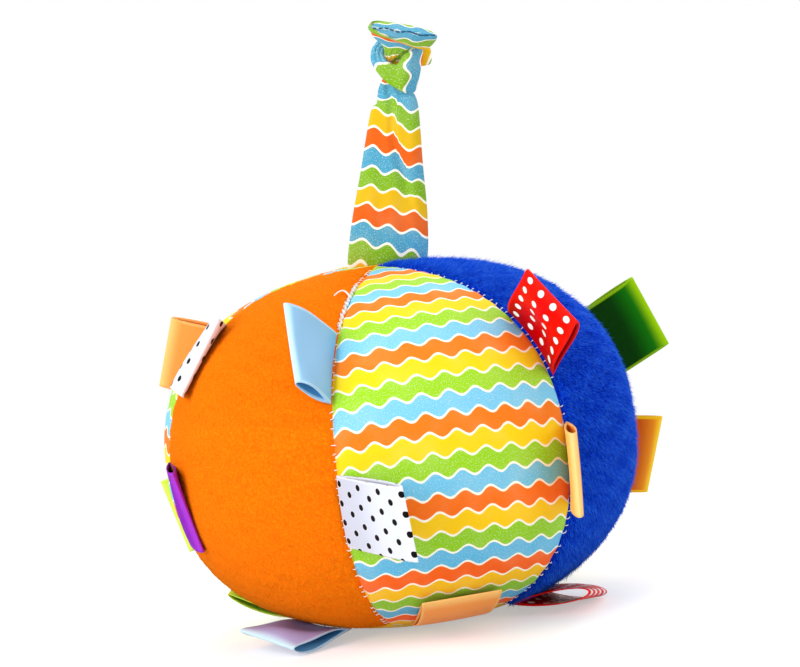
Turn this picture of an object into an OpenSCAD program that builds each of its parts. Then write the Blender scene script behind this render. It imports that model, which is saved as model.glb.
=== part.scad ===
// Stuffed sensory ball: six sewn panels round a fibre filling with a rattle inside,
// ribbon tags in every seam and a knotted hanging strap on top.
// The origin is the middle of the flat resting face, +Z goes up through the strap,
// and the front of the ball faces -Y. Turns are degrees from the front, seen from
// above they go towards +X. Heights on the skin are degrees of latitude.

/* [Ball] */
// Width of the stuffed ball across its middle
ball_w = 140; // [100:1:200]
// Height of the ball before its base settles flat
ball_h = 106.6; // [80:0.5:150]
// Fullness of the side profile, where 2 is a plain ellipse
profile_power = 2.32; // [2:0.02:2.8]
// Depth that the ball settles on its base
base_settle = 0.5; // [0.3:0.1:1.5]
// Thickness of the cover cloth
cloth_t = 1.6; // [1:0.1:2.5]
// How far each seam is drawn in between two panels
seam_dip = 1.3; // [0:0.1:3]
// Width of the round patch that closes the base
patch_w = 70; // [50:1:90]
// Turn of the middle of the front panel away from the front
front_turn = 13; // [-25:1:25]
// How far the far left seam is sewn past its even place, in degrees
left_slip = -4.5; // [-8:0.5:8]

/* [Filling] */
// Clearance between the filling and the cover
fill_gap = 0.3; // [0.2:0.05:0.6]

/* [Rattle] */
// Width of the rattle capsule
rattle_w = 34; // [28:0.5:44]
// Height of the rattle capsule
rattle_h = 30; // [26:0.5:40]
// Wall of the rattle capsule
rattle_wall = 1.6; // [1.2:0.1:2.2]
// Depth of the snap lip between the two rattle halves
lip_h = 3; // [2:0.1:4]
// Fit clearance of the snap lip
lip_gap = 0.15; // [0.1:0.05:0.3]
// Rounding of the rattle's outer corners
rattle_round = 7; // [4:0.5:9]
// Width of one rattle bead
bead_w = 5; // [3:0.1:5.4]
// Gap between the beads and what they lie on or beside
bead_gap = 0.3; // [0.2:0.05:0.6]
// Beads in the ring round the middle bead
bead_ring = 6; // [4:1:6]

/* [Ribbon tags] */
// Width of the ribbon
ribbon_w = 24; // [16:0.5:28]
// Thickness of the ribbon
ribbon_t = 0.7; // [0.4:0.05:1]
// Length of a folded tag from its seam to its fold
tag_len = 20; // [14:0.5:24]
// Widest inside gap of a nearly flat tag
tag_gap = 2.4; // [1:0.1:3.2]
// Stretch of each tag that is sewn flat at its seam
tag_sewn = 2.2; // [1:0.1:4]
// Clearance between a tag's root and the seam it grows from
seam_gap = 0.35; // [0.25:0.05:0.6]

/* [Hanging strap] */
// Width of the strap where it is sewn on
strap_w = 24; // [16:0.5:30]
// Width of the strap just under its knot
strap_neck_w = 14; // [8:0.5:15]
// Thickness of the strap halfway up
strap_t = 4.6; // [3:0.1:6]
// Thickness of the strap's sewn root
strap_root_t = 0.8; // [0.5:0.1:0.9]
// Height of the middle of the knot above the strap's root
knot_rise = 57.5; // [50:0.5:75]
// Spacing of the strands in the knot
knot_pitch = 5; // [4.9:0.1:6.5]
// Width of the cloth where it wraps round the outside of the knot
wrap_w = 12; // [9:0.5:12.5]
// Thickness of the gathered cloth inside the knot
strand_t = 2.4; // [1.8:0.1:2.5]
// Width of the strap's closed end
strap_end_w = 21.5; // [14:0.5:24]
// Thickness of the strap's closed end
strap_end_t = 5.2; // [3.5:0.1:5.6]
// Distance of the strap's root to the right of the ball's middle
strap_shift = 3.6; // [-5:0.2:5]
// Sideways lean of the strap
strap_lean = 9.8; // [-15:0.1:15]

/* [Hidden] */

// Ball
panels = 6;
panel_turn = 360 / panels;
ball_r = ball_w / 2;
half_h = ball_h / 2;
centre_z = half_h - base_settle;
top_z = centre_z + half_h;
patch_r = patch_w / 2;
patch_drop = half_h * pow(1 - pow(patch_r / ball_r, profile_power), 1 / profile_power);
patch_lat = -atan2(patch_drop, patch_r);
flat_r = ball_r * pow(1 - pow(1 - base_settle / half_h, profile_power), 1 / profile_power);
flat_lat = -atan2(half_h - base_settle, flat_r);
panel_rows = 16;
panel_cols = 8;
dip_power = 4;

// Radius of the side profile at a latitude
function profile_radius(lat) =
    1 / pow(pow(cos(lat) / ball_r, profile_power)
            + pow(abs(sin(lat)) / half_h, profile_power), 1 / profile_power);

// How much of the seam's dip is left at a latitude, none at the pole and the patch
function dip_fade(lat) =
    let (along = (lat - patch_lat) / (90 - patch_lat))
    along <= 0 || along >= 1 ? 0 : sqrt(sin(180 * along));

// Position across its panel of a turn, -1 and 1 at the seams
function across(turn) =
    let (part = (turn - front_turn) / panel_turn + 0.5)
    2 * (part - floor(part)) - 1;

// Turn on the sewn ball of an evenly spaced turn, eased round the far left seam
function sewn_turn(turn) =
    let (from_left = (turn - front_turn + 1.5 * panel_turn + 540) % 360 - 180)
    abs(from_left) < panel_turn ? turn + left_slip * pow(cos(from_left * 90 / panel_turn), 2) : turn;

// Point on the cover at a depth under its outside
function skin_point(turn, lat, depth) =
    let (dip = seam_dip * dip_fade(lat) * pow(abs(across(turn)), dip_power),
         r = profile_radius(lat) - dip - depth,
         sewn = sewn_turn(turn))
    [r * cos(lat) * sin(sewn),
     -r * cos(lat) * cos(sewn),
     max(r * sin(lat) + centre_z, depth)];

// Latitude that lies a distance up the meridian from another one
function lat_along(lat, distance) =
    let (nudge = 0.5,
         low = profile_radius(lat - nudge) * [cos(lat - nudge), sin(lat - nudge)],
         high = profile_radius(lat + nudge) * [cos(lat + nudge), sin(lat + nudge)])
    lat + distance / norm(high - low) * 2 * nudge;

// Two triangles of a quad whose corners run anticlockwise seen from outside
function quad(a, b, c, d) = [[a, d, c], [a, c, b]];

// Sewn panel
// A ring holds the outside from left to right, then the inside back again
function panel_ring(mid, lat) = [
    for (j = [0:panel_cols])
        skin_point(mid + panel_turn * (j / panel_cols - 1 / 2), lat, 0),
    for (j = [panel_cols:-1:0])
        skin_point(mid + panel_turn * (j / panel_cols - 1 / 2), lat, cloth_t)
];

module sewn_panel(mid) {
    ring = 2 * (panel_cols + 1);
    last = (panel_rows - 1) * ring;
    outer_pole = panel_rows * ring;
    inner_pole = outer_pole + 1;
    rows = [for (i = [0:panel_rows - 1])
        panel_ring(mid, patch_lat + (90 - patch_lat) * i / panel_rows)];
    points = concat([for (row = rows) each row],
        [skin_point(mid, 90, 0), skin_point(mid, 90, cloth_t)]);
    sides = [for (i = [0:panel_rows - 2]) for (s = [0:ring - 1])
        each quad(i * ring + s, i * ring + (s + 1) % ring,
                  (i + 1) * ring + (s + 1) % ring, (i + 1) * ring + s)];
    hem = [for (j = [0:panel_cols - 1])
        each [[j, j + 1, ring - 2 - j], [j, ring - 2 - j, ring - 1 - j]]];
    tip = concat(
        [for (j = [0:panel_cols - 1]) [last + j, outer_pole, last + j + 1]],
        [for (j = [panel_cols + 1:ring - 2]) [last + j, inner_pole, last + j + 1]],
        [[last + panel_cols, outer_pole, inner_pole],
         [last + panel_cols, inner_pole, last + panel_cols + 1],
         [last + ring - 1, inner_pole, outer_pole],
         [last + ring - 1, outer_pole, last]]);
    polyhedron(points, concat(sides, hem, tip));
}

module panel_orange_plush() {
    color("darkorange") sewn_panel(front_turn - panel_turn);
}

module panel_striped_front() {
    color("yellowgreen") sewn_panel(front_turn);
}

module panel_blue_plush() {
    color("royalblue") sewn_panel(front_turn + panel_turn);
}

module panel_striped_right() {
    color("skyblue") sewn_panel(front_turn + 2 * panel_turn);
}

module panel_yellow_plush() {
    color("gold") sewn_panel(front_turn + 3 * panel_turn);
}

module panel_striped_left() {
    color("yellowgreen") sewn_panel(front_turn - 2 * panel_turn);
}

// Base patch
patch_cols = panels * panel_cols;
patch_mid_lat = (patch_lat + flat_lat) / 2;
patch_lats = [flat_lat, patch_mid_lat, patch_lat];

// Ring of a closed skin, all the way round at one latitude and depth
function full_ring(lat, depth, cols) = [
    for (j = [0:cols - 1])
        skin_point(front_turn + panel_turn / 2 + 360 * j / cols, lat, depth)
];

module base_patch() {
    n = patch_cols;
    rings = len(patch_lats);
    outer_mid = 2 * rings * n;
    inner_mid = outer_mid + 1;
    points = concat(
        [for (lat = patch_lats) each full_ring(lat, 0, n)],
        [for (lat = patch_lats) each full_ring(lat, cloth_t, n)],
        [[0, 0, 0], [0, 0, cloth_t]]);
    faces = [for (j = [0:n - 1]) let (k = (j + 1) % n) each concat(
        [[outer_mid, j, k]],
        [for (i = [0:rings - 2]) each
            quad(i * n + j, i * n + k, (i + 1) * n + k, (i + 1) * n + j)],
        quad((rings - 1) * n + j, (rings - 1) * n + k,
             (2 * rings - 1) * n + k, (2 * rings - 1) * n + j),
        [for (i = [0:rings - 2]) each
            quad((rings + i + 1) * n + j, (rings + i + 1) * n + k,
                 (rings + i) * n + k, (rings + i) * n + j)],
        [[inner_mid, rings * n + k, rings * n + j]])];
    color("gold") polyhedron(points, faces);
}

// Filling
fill_cols = panels * 6;
fill_depth = cloth_t + fill_gap;
fill_lats = concat(
    [flat_lat, patch_mid_lat],
    [for (i = [0:2:panel_rows - 2]) patch_lat + (90 - patch_lat) * i / panel_rows]);
rattle_r = rattle_w / 2;
pocket_sides = 12;
pocket_r = (rattle_r + fill_gap) / cos(180 / pocket_sides);

module fibre_filling() {
    n = fill_cols;
    rings = len(fill_lats);
    low = rings * n;
    high = low + 1;
    points = concat(
        [for (lat = fill_lats) each full_ring(lat, fill_depth, n)],
        [[0, 0, fill_depth], [0, 0, top_z - fill_depth]]);
    faces = [for (j = [0:n - 1]) let (k = (j + 1) % n) each concat(
        [[low, j, k]],
        [for (i = [0:rings - 2]) each
            quad(i * n + j, i * n + k, (i + 1) * n + k, (i + 1) * n + j)],
        [[high, (rings - 1) * n + k, (rings - 1) * n + j]])];
    color("ivory") difference() {
        polyhedron(points, faces);
        translate([0, 0, centre_z])
            cylinder(h = rattle_h + 2 * fill_gap, r = pocket_r, center = true, $fn = pocket_sides);
    }
}

// Rattle
rattle_low_z = centre_z - rattle_h / 2;
rattle_in_r = rattle_r - rattle_wall;
inner_round = rattle_round - rattle_wall;
lip_wall = (rattle_wall - lip_gap) / 2;

// Half of the rattle's outline, closed along its axis
module rattle_outline(r, h, corner) {
    intersection() {
        offset(r = corner) square([2 * (r - corner), 2 * (h - corner)], center = true);
        square([r, h]);
    }
}

// One half shell, open at its top, with its closed end down
module rattle_half() {
    rotate_extrude($fn = 64) mirror([0, 1]) difference() {
        rattle_outline(rattle_r, rattle_h / 2, rattle_round);
        rattle_outline(rattle_in_r, rattle_h / 2 - rattle_wall, inner_round);
    }
}

module rattle_cup() {
    color("white") translate([0, 0, centre_z]) {
        rattle_half();
        rotate_extrude($fn = 64)
            translate([rattle_in_r, 0]) square([lip_wall, lip_h]);
    }
}

module rattle_lid() {
    color("tomato") translate([0, 0, centre_z]) difference() {
        mirror([0, 0, 1]) rattle_half();
        translate([0, 0, -lip_h]) cylinder(
            h = 2 * lip_h + lip_gap, r = rattle_in_r + lip_wall + lip_gap, $fn = 64);
    }
}

module rattle_beads() {
    bead_z = rattle_low_z + rattle_wall + bead_gap + bead_w / 2;
    ring_r = (bead_w + bead_gap) / (2 * sin(180 / max(bead_ring, 6)));
    color("crimson") translate([0, 0, bead_z]) {
        sphere(d = bead_w, $fn = 32);
        for (k = [0:bead_ring - 1])
            rotate([0, 0, 360 * k / bead_ring]) translate([ring_r, 0, 0])
                sphere(d = bead_w, $fn = 32);
    }
}

// Ribbon tags
tag_rows = 4;
tag_ring = 14;
loop_power = 0.6;

// Teardrop loop in shares of its length and of its half width, for one angle
function teardrop(angle) = [(1 - cos(angle)) / 2, sin(angle) * pow(abs(sin(angle / 2)), loop_power)];

// Ribbon loop between a list of root points and the matching points of its fold
// side is the direction square to the flat of the ribbon, towards which it curls
module ribbon_loop(roots, folds, side, curl, gap) {
    n = tag_ring;
    length = norm(folds[tag_rows / 2] - roots[tag_rows / 2]);
    inner_start = tag_sewn / length;
    inner_span = 1 - (tag_sewn + ribbon_t) / length;
    out_half = gap / 2 + ribbon_t;
    in_half = gap / 2;
    outer = [for (k = [0:n - 1]) teardrop(360 * k / n)];
    inner = [for (t = outer) [inner_start + inner_span * t[0], t[1]]];
    points = concat(
        [for (i = [0:tag_rows]) for (t = outer)
            roots[i] + (folds[i] - roots[i]) * t[0] + side * (out_half * t[1] + curl * t[0] * t[0])],
        [for (i = [0:tag_rows]) for (t = inner)
            roots[i] + (folds[i] - roots[i]) * t[0] + side * (in_half * t[1] + curl * t[0] * t[0])]);
    hole = (tag_rows + 1) * n;
    end = tag_rows * n;
    faces = [for (k = [0:n - 1]) let (m = (k + 1) % n) each concat(
        [for (i = [0:tag_rows - 1]) each
            quad(i * n + k, i * n + m, (i + 1) * n + m, (i + 1) * n + k)],
        [for (i = [0:tag_rows - 1]) each
            quad(hole + i * n + m, hole + i * n + k,
                 hole + (i + 1) * n + k, hole + (i + 1) * n + m)],
        quad(k, hole + k, hole + m, m),
        quad(end + k, end + m, hole + end + m, hole + end + k))];
    polyhedron(points, faces);
}
tag_shares = [for (i = [0:tag_rows]) i / tag_rows - 1 / 2];

// Tag in a panel seam. Latitude says where it sits and lean how it falls over to
// its left or right. Skew turns its fold along the seam
module seam_tag(seam, lat, lean, skew, length_share, width_share = 1, gap_share = 1) {
    turn = front_turn + panel_turn * (seam - 1 / 2);
    east = [cos(sewn_turn(turn)), sin(sewn_turn(turn)), 0];
    below = skin_point(turn, lat_along(lat, -seam_gap), -seam_gap);
    above = skin_point(turn, lat_along(lat, seam_gap), -seam_gap);
    along = (above - below) / norm(above - below);
    away = cross(east, along) * cos(lean) + east * sin(lean);
    row = along * cos(skew) + away * sin(skew);
    width = ribbon_w * width_share;
    fold = skin_point(turn, lat, -seam_gap) + away * tag_len * length_share;
    roots = [for (s = tag_shares) skin_point(turn, lat_along(lat, width * s), -seam_gap)];
    folds = [for (s = tag_shares) fold + row * width * s];
    ribbon_loop(roots, folds, cross(along, away), 0, tag_gap * gap_share);
}

// Tag in the seam of the base patch. Rise is its slope at the seam, and its curl,
// a share of its length, lifts its fold further, along the ball above it
module base_tag(turn, rise, skew, length_share, curl_share, gap_share = 1) {
    east = [cos(sewn_turn(turn)), sin(sewn_turn(turn)), 0];
    out = [sin(sewn_turn(turn)), -cos(sewn_turn(turn)), 0];
    step = atan(ribbon_w / patch_r);
    away = out * cos(rise) + [0, 0, 1] * sin(rise);
    row = east * cos(skew) + away * sin(skew);
    length = tag_len * length_share;
    fold = skin_point(turn, patch_lat, -seam_gap) + away * length;
    roots = [for (s = tag_shares) skin_point(turn + step * s, patch_lat, -seam_gap)];
    folds = [for (s = tag_shares) fold + row * ribbon_w * s];
    ribbon_loop(roots, folds, cross(east, away), -length * curl_share, tag_gap * gap_share);
}

module tag_light_blue_upper() {
    color("lightskyblue") seam_tag(0, 29, -32, 17, 0.8);
}

module tag_white_dotted_lower() {
    color("whitesmoke") seam_tag(0, -6.5, 54, -5, 1.5, width_share = 0.9);
}

module tag_red_dotted_upper() {
    color("red") seam_tag(1, 27, -23, -15, 1.28);
}

module tag_peach_lower() {
    color("sandybrown") seam_tag(1, -4, -45, -2, 1);
}

module tag_green_upper() {
    color("green") seam_tag(2, 16, 17, -3, 1.05);
}

module tag_amber_lower() {
    color("orange") seam_tag(2, -12.5, 37, 9, 1);
}

module tag_turquoise_upper() {
    color("turquoise") seam_tag(3, 24, 20, 0, 1);
}

module tag_pink_lower() {
    color("hotpink") seam_tag(3, -10, -35, 0, 1);
}

module tag_peach_upper() {
    color("sandybrown") seam_tag(-2, 20, 47, 1, 1.3);
}

module tag_lime_lower() {
    color("yellowgreen") seam_tag(-2, -13, 51, 6, 1.4);
}

module tag_white_dotted_upper() {
    color("whitesmoke") seam_tag(-1, 33, 76, -4, 0.8, width_share = 0.95, gap_share = 0.7);
}

module tag_purple_lower() {
    color("darkorchid") seam_tag(-1, -8.5, 80, 4, 0.95, gap_share = 0.5);
}

module tag_peach_base() {
    color("sandybrown") base_tag(front_turn - 2, 6, -4, 1.2, 0.24, gap_share = 0.7);
}

module tag_red_dotted_base() {
    color("red") base_tag(front_turn + 52, -1, -4, 1.35, 0, gap_share = 1.6);
}

module tag_green_base() {
    color("green") base_tag(front_turn + 120, 4, 0, 1, 0.08, gap_share = 0.8);
}

module tag_blue_base() {
    color("royalblue") base_tag(front_turn + 180, 4, 0, 1, 0.08, gap_share = 0.8);
}

module tag_lime_base() {
    color("greenyellow") base_tag(front_turn - 112, 6, 0, 1.15, 0.15, gap_share = 0.7);
}

module tag_lilac_base() {
    color("plum") base_tag(front_turn - 66, -3, -4, 1, -0.03, gap_share = 0.8);
}

// Hanging strap
// Places below the knot: a share of the neck's height, then how far the width has
// gone from the root's to the neck's, and how far the thickness has
neck_shares = [
    [0, 0, 0], [0.11, 0, 0.6], [0.33, 0.17, 0.9], [0.6, 0.52, 1], [0.82, 0.76, 1], [1, 1, 1]
];
neck_below_share = 2.34;
// Places along the knot in shares of its strand spacing, then the width, the thickness
// and how far round the line of sight the cloth's width is turned. The strap goes up,
// over to the left, down across its own front, round behind itself and out to the
// front through the loop.
knot_shares = [
    [-0.04, 0.08, -1.84, 0.94, 1.5, 0], [-0.2, 0.2, -1.2, 0.67, 1.17, 0],
    [0, 0.24, -0.44, 0.47, 1.08, -0.06], [0.42, 0.22, 0.2, 0.38, 1, -0.06],
    [0.6, 0.2, 0.8, 0.37, 1, 0.03], [0.28, 0.28, 1.36, 0.38, 1, 0.17],
    [-0.4, 0.32, 1.52, 0.4, 1, 0.28], [-1.04, 0.16, 1.16, 0.37, 1, 0.4],
    [-1.18, -0.18, 0.54, 0.35, 1, 0.51], [-0.82, -0.54, -0.12, 0.37, 1, 0.62],
    [-0.16, -0.7, -0.52, 0.52, 1, 0.69], [0.6, -0.72, -0.36, 0.88, 0.92, 0.68],
    [1.28, 0.04, -0.18, 1, 0.92, 0.72], [0.76, 0.92, -0.18, 0.83, 0.92, 0.75],
    [0.04, 1.04, 0.2, 0.5, 1, 0.77], [-0.44, 0.72, 0.52, 0.27, 1.08, 0.83],
    [-0.38, 0.04, 0.6, 0.23, 1.08, 0.93], [-0.34, -0.72, 0.82, 0.35, 1.08, 1],
    [-0.18, -1.16, 1.3, 0.72, 1.25, 0.99]
];
// The same for the closed end, in shares of its own width and thickness
end_shares = [
    [-0.04, -1.4, 1.8, 0.82, 0.94, 0.98], [0.18, -1.72, 2.04, 1, 1, 0.98],
    [0.22, -2.08, 2.1, 0.96, 0.56, 0.98], [0.22, -2.28, 2.12, 0.93, 0.14, 0.98]
];
strap_sides = 12;
strap_steps = 3;

// Stations of the strap: place, width, thickness and turn of the width
function neck_station(share) =
    [0, 0, (knot_rise - neck_below_share * knot_pitch) * share[0],
     strap_w + (strap_neck_w - strap_w) * share[1],
     strap_root_t + (strap_t - strap_root_t) * share[2], 0];
function knot_station(share, wide, thick) =
    [share[0] * knot_pitch, share[1] * knot_pitch, share[2] * knot_pitch + knot_rise,
     wide * share[3], thick * share[4], 360 * share[5]];
strap_stations = concat(
    [for (share = neck_shares) neck_station(share)],
    [for (share = knot_shares) knot_station(share, wrap_w, strand_t)],
    [for (share = end_shares) knot_station(share, strap_end_w, strap_end_t)]);

// Smooth run through stations, each step a share of the way to the next one
function smooth_run(stations, steps) = [
    for (i = [0:len(stations) - 2]) for (s = [0:steps - 1])
        let (t = s / steps,
             a = stations[max(i - 1, 0)], b = stations[i], c = stations[i + 1],
             d = stations[min(i + 2, len(stations) - 1)])
        ((2 * b) + (c - a) * t + (2 * a - 5 * b + 4 * c - d) * t * t
         + (3 * b - 3 * c + d - a) * t * t * t) / 2,
    stations[len(stations) - 1]
];
strap_run = smooth_run(strap_stations, strap_steps);
strap_rings = len(strap_run);

function place(station) = [station[0], station[1], station[2]];
function heading(i) =
    let (step = place(strap_run[min(i + 1, strap_rings - 1)]) - place(strap_run[max(i - 1, 0)]))
    step / norm(step);

// Direction of the strap's width at a ring, square to its heading
function width_way(i) =
    let (turn = strap_run[i][5], ahead = heading(i), plain = [cos(turn), 0, sin(turn)],
         flat = plain - ahead * (plain * ahead))
    flat / norm(flat);
function strap_point(i, k) =
    let (station = strap_run[i], wide = width_way(i), thick = cross(heading(i), wide),
         angle = 360 * k / strap_sides)
    place(station) + wide * station[3] / 2 * cos(angle) + thick * station[4] / 2 * sin(angle);
strap_points = [for (i = [0:strap_rings - 1]) [for (k = [0:strap_sides - 1]) strap_point(i, k)]];

// Least gap between strands of the knot, measured between points of their rings
knot_first = len(neck_shares) * strap_steps;
knot_apart = 4 * strap_steps;
knot_gaps = [
    for (i = [knot_first:strap_rings - 1 - knot_apart]) for (j = [i + knot_apart:strap_rings - 1])
        min([for (p = strap_points[i]) for (q = strap_points[j]) norm(p - q)])
];
echo(least_gap_in_knot = min(knot_gaps));

module hanging_strap() {
    n = strap_sides;
    last = (strap_rings - 1) * n;
    points = [for (ring = strap_points) for (p = ring) [p[0] + p[2] * tan(strap_lean), p[1], p[2]]];
    sides = [for (i = [0:strap_rings - 2]) for (k = [0:n - 1])
        each quad(i * n + k, i * n + (k + 1) % n, (i + 1) * n + (k + 1) % n, (i + 1) * n + k)];
    ends = [for (k = [1:n - 2]) each [[0, k, k + 1], [last, last + k + 1, last + k]]];
    color("deepskyblue") translate([strap_shift, 0, top_z + seam_gap])
        polyhedron(points, concat(sides, ends));
}

panel_orange_plush();
panel_striped_front();
panel_blue_plush();
panel_striped_right();
panel_yellow_plush();
panel_striped_left();
base_patch();
fibre_filling();
rattle_cup();
rattle_lid();
rattle_beads();
tag_light_blue_upper();
tag_white_dotted_lower();
tag_red_dotted_upper();
tag_peach_lower();
tag_green_upper();
tag_amber_lower();
tag_turquoise_upper();
tag_pink_lower();
tag_peach_upper();
tag_lime_lower();
tag_white_dotted_upper();
tag_purple_lower();
tag_peach_base();
tag_red_dotted_base();
tag_green_base();
tag_blue_base();
tag_lime_base();
tag_lilac_base();
hanging_strap();
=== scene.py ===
"""Looks of a stuffed sensory ball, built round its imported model.

Six sewn panels close round a fibre filling and a rattle. Folded ribbon tags grow from
the seams, and a striped hanging strap with a knot stands on the top. Lengths are in
metres in the model's frame: +Z is up, the front faces -Y and the ball rests on z = 0.
Turns and latitudes are in degrees, and a turn grows from the front towards +X.
"""

from __future__ import annotations

import logging
import math
from dataclasses import dataclass, field
from enum import Enum
from typing import Any, Iterable, Sequence, Union

import bmesh
import bpy
import numpy as np
from mathutils import Matrix, Vector

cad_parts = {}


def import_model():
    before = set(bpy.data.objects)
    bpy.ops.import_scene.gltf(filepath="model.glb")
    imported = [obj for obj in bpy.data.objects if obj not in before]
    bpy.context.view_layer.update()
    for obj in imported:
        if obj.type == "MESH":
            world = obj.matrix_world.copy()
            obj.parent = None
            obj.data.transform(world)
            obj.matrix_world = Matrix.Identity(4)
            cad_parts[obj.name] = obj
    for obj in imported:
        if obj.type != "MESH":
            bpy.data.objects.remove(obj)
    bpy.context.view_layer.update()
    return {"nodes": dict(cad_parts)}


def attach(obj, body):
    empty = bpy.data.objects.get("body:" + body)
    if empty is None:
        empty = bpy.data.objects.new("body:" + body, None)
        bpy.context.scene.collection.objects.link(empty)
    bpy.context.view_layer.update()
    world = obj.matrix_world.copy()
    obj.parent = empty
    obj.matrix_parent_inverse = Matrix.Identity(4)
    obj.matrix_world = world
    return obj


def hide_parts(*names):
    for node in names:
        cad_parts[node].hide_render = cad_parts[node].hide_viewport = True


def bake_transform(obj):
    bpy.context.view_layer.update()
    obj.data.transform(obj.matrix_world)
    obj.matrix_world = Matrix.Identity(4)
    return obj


Array = np.ndarray
Colour = tuple[float, float, float, float]
Piece = bpy.types.Object
Node = bpy.types.Node
Socket = bpy.types.NodeSocket
Material = bpy.types.Material
log = logging.getLogger("sensory_ball")

MM = 0.001
CLOTH_MAP = "cloth"
BAKE_MAP = "OFBake"


def paint(red: float, green: float, blue: float) -> Colour:
    """A shade of 0 to 255 as the linear colour that a shader takes.

    Args:
        red, green, blue: the shade as it looks on a screen.

    Returns:
        The linear colour with full opacity.
    """
    share = np.array([red, green, blue]) / 255.0
    linear = np.where(share <= 0.04045, share / 12.92, ((share + 0.055) / 1.055) ** 2.4)
    return (float(linear[0]), float(linear[1]), float(linear[2]), 1.0)


def unit(vectors: Array) -> Array:
    """The vectors scaled to a length of one."""
    return vectors / np.linalg.norm(vectors, axis=-1, keepdims=True)


def ease(low: float, high: float, x: Array) -> Array:
    """Smooth step: 0 up to low, 1 from high on, and 3t squared less 2t cubed between."""
    t = np.clip((x - low) / (high - low), 0.0, 1.0)
    return t * t * (3.0 - 2.0 * t)


def turned(radians: Array) -> tuple[Array, Array]:
    """The cosine and the sine of an angle."""
    return np.cos(radians), np.sin(radians)


def spun(first: Array, second: Array, degrees: float) -> tuple[Array, Array]:
    """Two directions square to each other, turned in their plane from first to second."""
    cosine, sine = turned(math.radians(degrees))
    return first * cosine + second * sine, second * cosine - first * sine


def lattice(up: tuple[float, float, int], over: tuple[float, float, int]) -> list[Array]:
    """Grids of two even runs, each given by its start, its end and its places."""
    return np.meshgrid(np.linspace(*up), np.linspace(*over), indexing="ij")


# Surfaces.


@dataclass
class Surface:
    """Points, faces and maps of a piece before it becomes a mesh.

    Args:
        points: places of the vertices, one row each.
        faces: index arrays, each with faces of one number of corners.
        maps: UV places by map name, one row for each corner in the order of faces.
        marks: numbers by attribute name, one for each vertex.
    """

    points: Array
    faces: list[Array]
    maps: dict[str, Array] = field(default_factory=dict)
    marks: dict[str, Array] = field(default_factory=dict)

    @staticmethod
    def from_grid(points: Array, cloth: Array, marks: dict[str, Array] | None = None) -> "Surface":
        """A surface whose quads join neighbouring points of a grid.

        Args:
            points: places, rows by columns by three. A face looks to the side from which
                its columns run to the right while its rows run up.
            cloth: places on the cloth of the same points, in metres.
            marks: grids of numbers by attribute name.

        Returns:
            The surface, with the cloth's places in its map.
        """
        rows, cols = points.shape[:2]
        index = np.arange(rows * cols).reshape(rows, cols)
        quads = np.stack(
            [index[:-1, :-1], index[:-1, 1:], index[1:, 1:], index[1:, :-1]], axis=-1
        ).reshape(-1, 4)
        return Surface(
            points.reshape(-1, 3),
            [quads],
            {CLOTH_MAP: cloth.reshape(-1, 2)[quads.ravel()]},
            {name: grid.ravel() for name, grid in (marks or {}).items()},
        )

    @staticmethod
    def joined(parts: Sequence["Surface"]) -> "Surface":
        """Several surfaces as one. Every part has the same maps and marks.

        Args:
            parts: the surfaces.

        Returns:
            One surface with all of their faces.
        """
        starts = np.cumsum([0] + [len(part.points) for part in parts[:-1]])
        first = parts[0]
        return Surface(
            np.concatenate([part.points for part in parts]),
            [faces + start for part, start in zip(parts, starts) for faces in part.faces],
            {key: np.concatenate([part.maps[key] for part in parts]) for key in first.maps},
            {key: np.concatenate([part.marks[key] for part in parts]) for key in first.marks},
        )

    def area(self) -> float:
        """The area of a surface of quads, from their diagonals.

        Returns:
            The area in square metres.
        """
        total = 0.0
        for faces in self.faces:
            corner = self.points[faces]
            cross = np.cross(corner[:, 2] - corner[:, 0], corner[:, 3] - corner[:, 1])
            total += float(np.linalg.norm(cross, axis=1).sum()) / 2.0
        return total

    def piece(self, name: str, weld: float = 2e-6, outward: bool = False) -> Piece:
        """Makes the surface a mesh object at the origin.

        Args:
            name: the piece's name.
            weld: distance within which vertices become one, or 0 to leave them.
            outward: whether the faces are turned to point out of the closed shell.

        Returns:
            The new object, smooth shaded, linked to the scene.
        """
        mesh = bpy.data.meshes.new(name)
        loops = np.concatenate([faces.ravel() for faces in self.faces]).astype(np.int32)
        sizes = np.concatenate([np.full(len(faces), faces.shape[1]) for faces in self.faces])
        starts = np.concatenate([[0], np.cumsum(sizes)[:-1]]).astype(np.int32)
        mesh.vertices.add(len(self.points))
        mesh.vertices.foreach_set("co", self.points.astype(np.float32).ravel())
        mesh.loops.add(len(loops))
        mesh.loops.foreach_set("vertex_index", loops)
        mesh.polygons.add(len(starts))
        mesh.polygons.foreach_set("loop_start", starts)
        mesh.polygons.foreach_set("use_smooth", np.ones(len(starts), dtype=bool))
        for key, places in self.maps.items():
            mesh.uv_layers.new(name=key).uv.foreach_set(
                "vector", places.astype(np.float32).ravel()
            )
        for key, numbers in self.marks.items():
            mesh.attributes.new(key, "FLOAT", "POINT").data.foreach_set(
                "value", numbers.astype(np.float32).ravel()
            )
        mesh.update(calc_edges=True)
        mesh.validate()
        if weld > 0.0:
            work = bmesh.new()
            work.from_mesh(mesh)
            bmesh.ops.remove_doubles(work, verts=work.verts, dist=weld)
            bmesh.ops.dissolve_degenerate(work, edges=work.edges, dist=weld / 4.0)
            if outward:
                bmesh.ops.recalc_face_normals(work, faces=work.faces)
            work.to_mesh(mesh)
            work.free()
        made = bpy.data.objects.new(name, mesh)
        bpy.context.scene.collection.objects.link(made)
        return made


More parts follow.
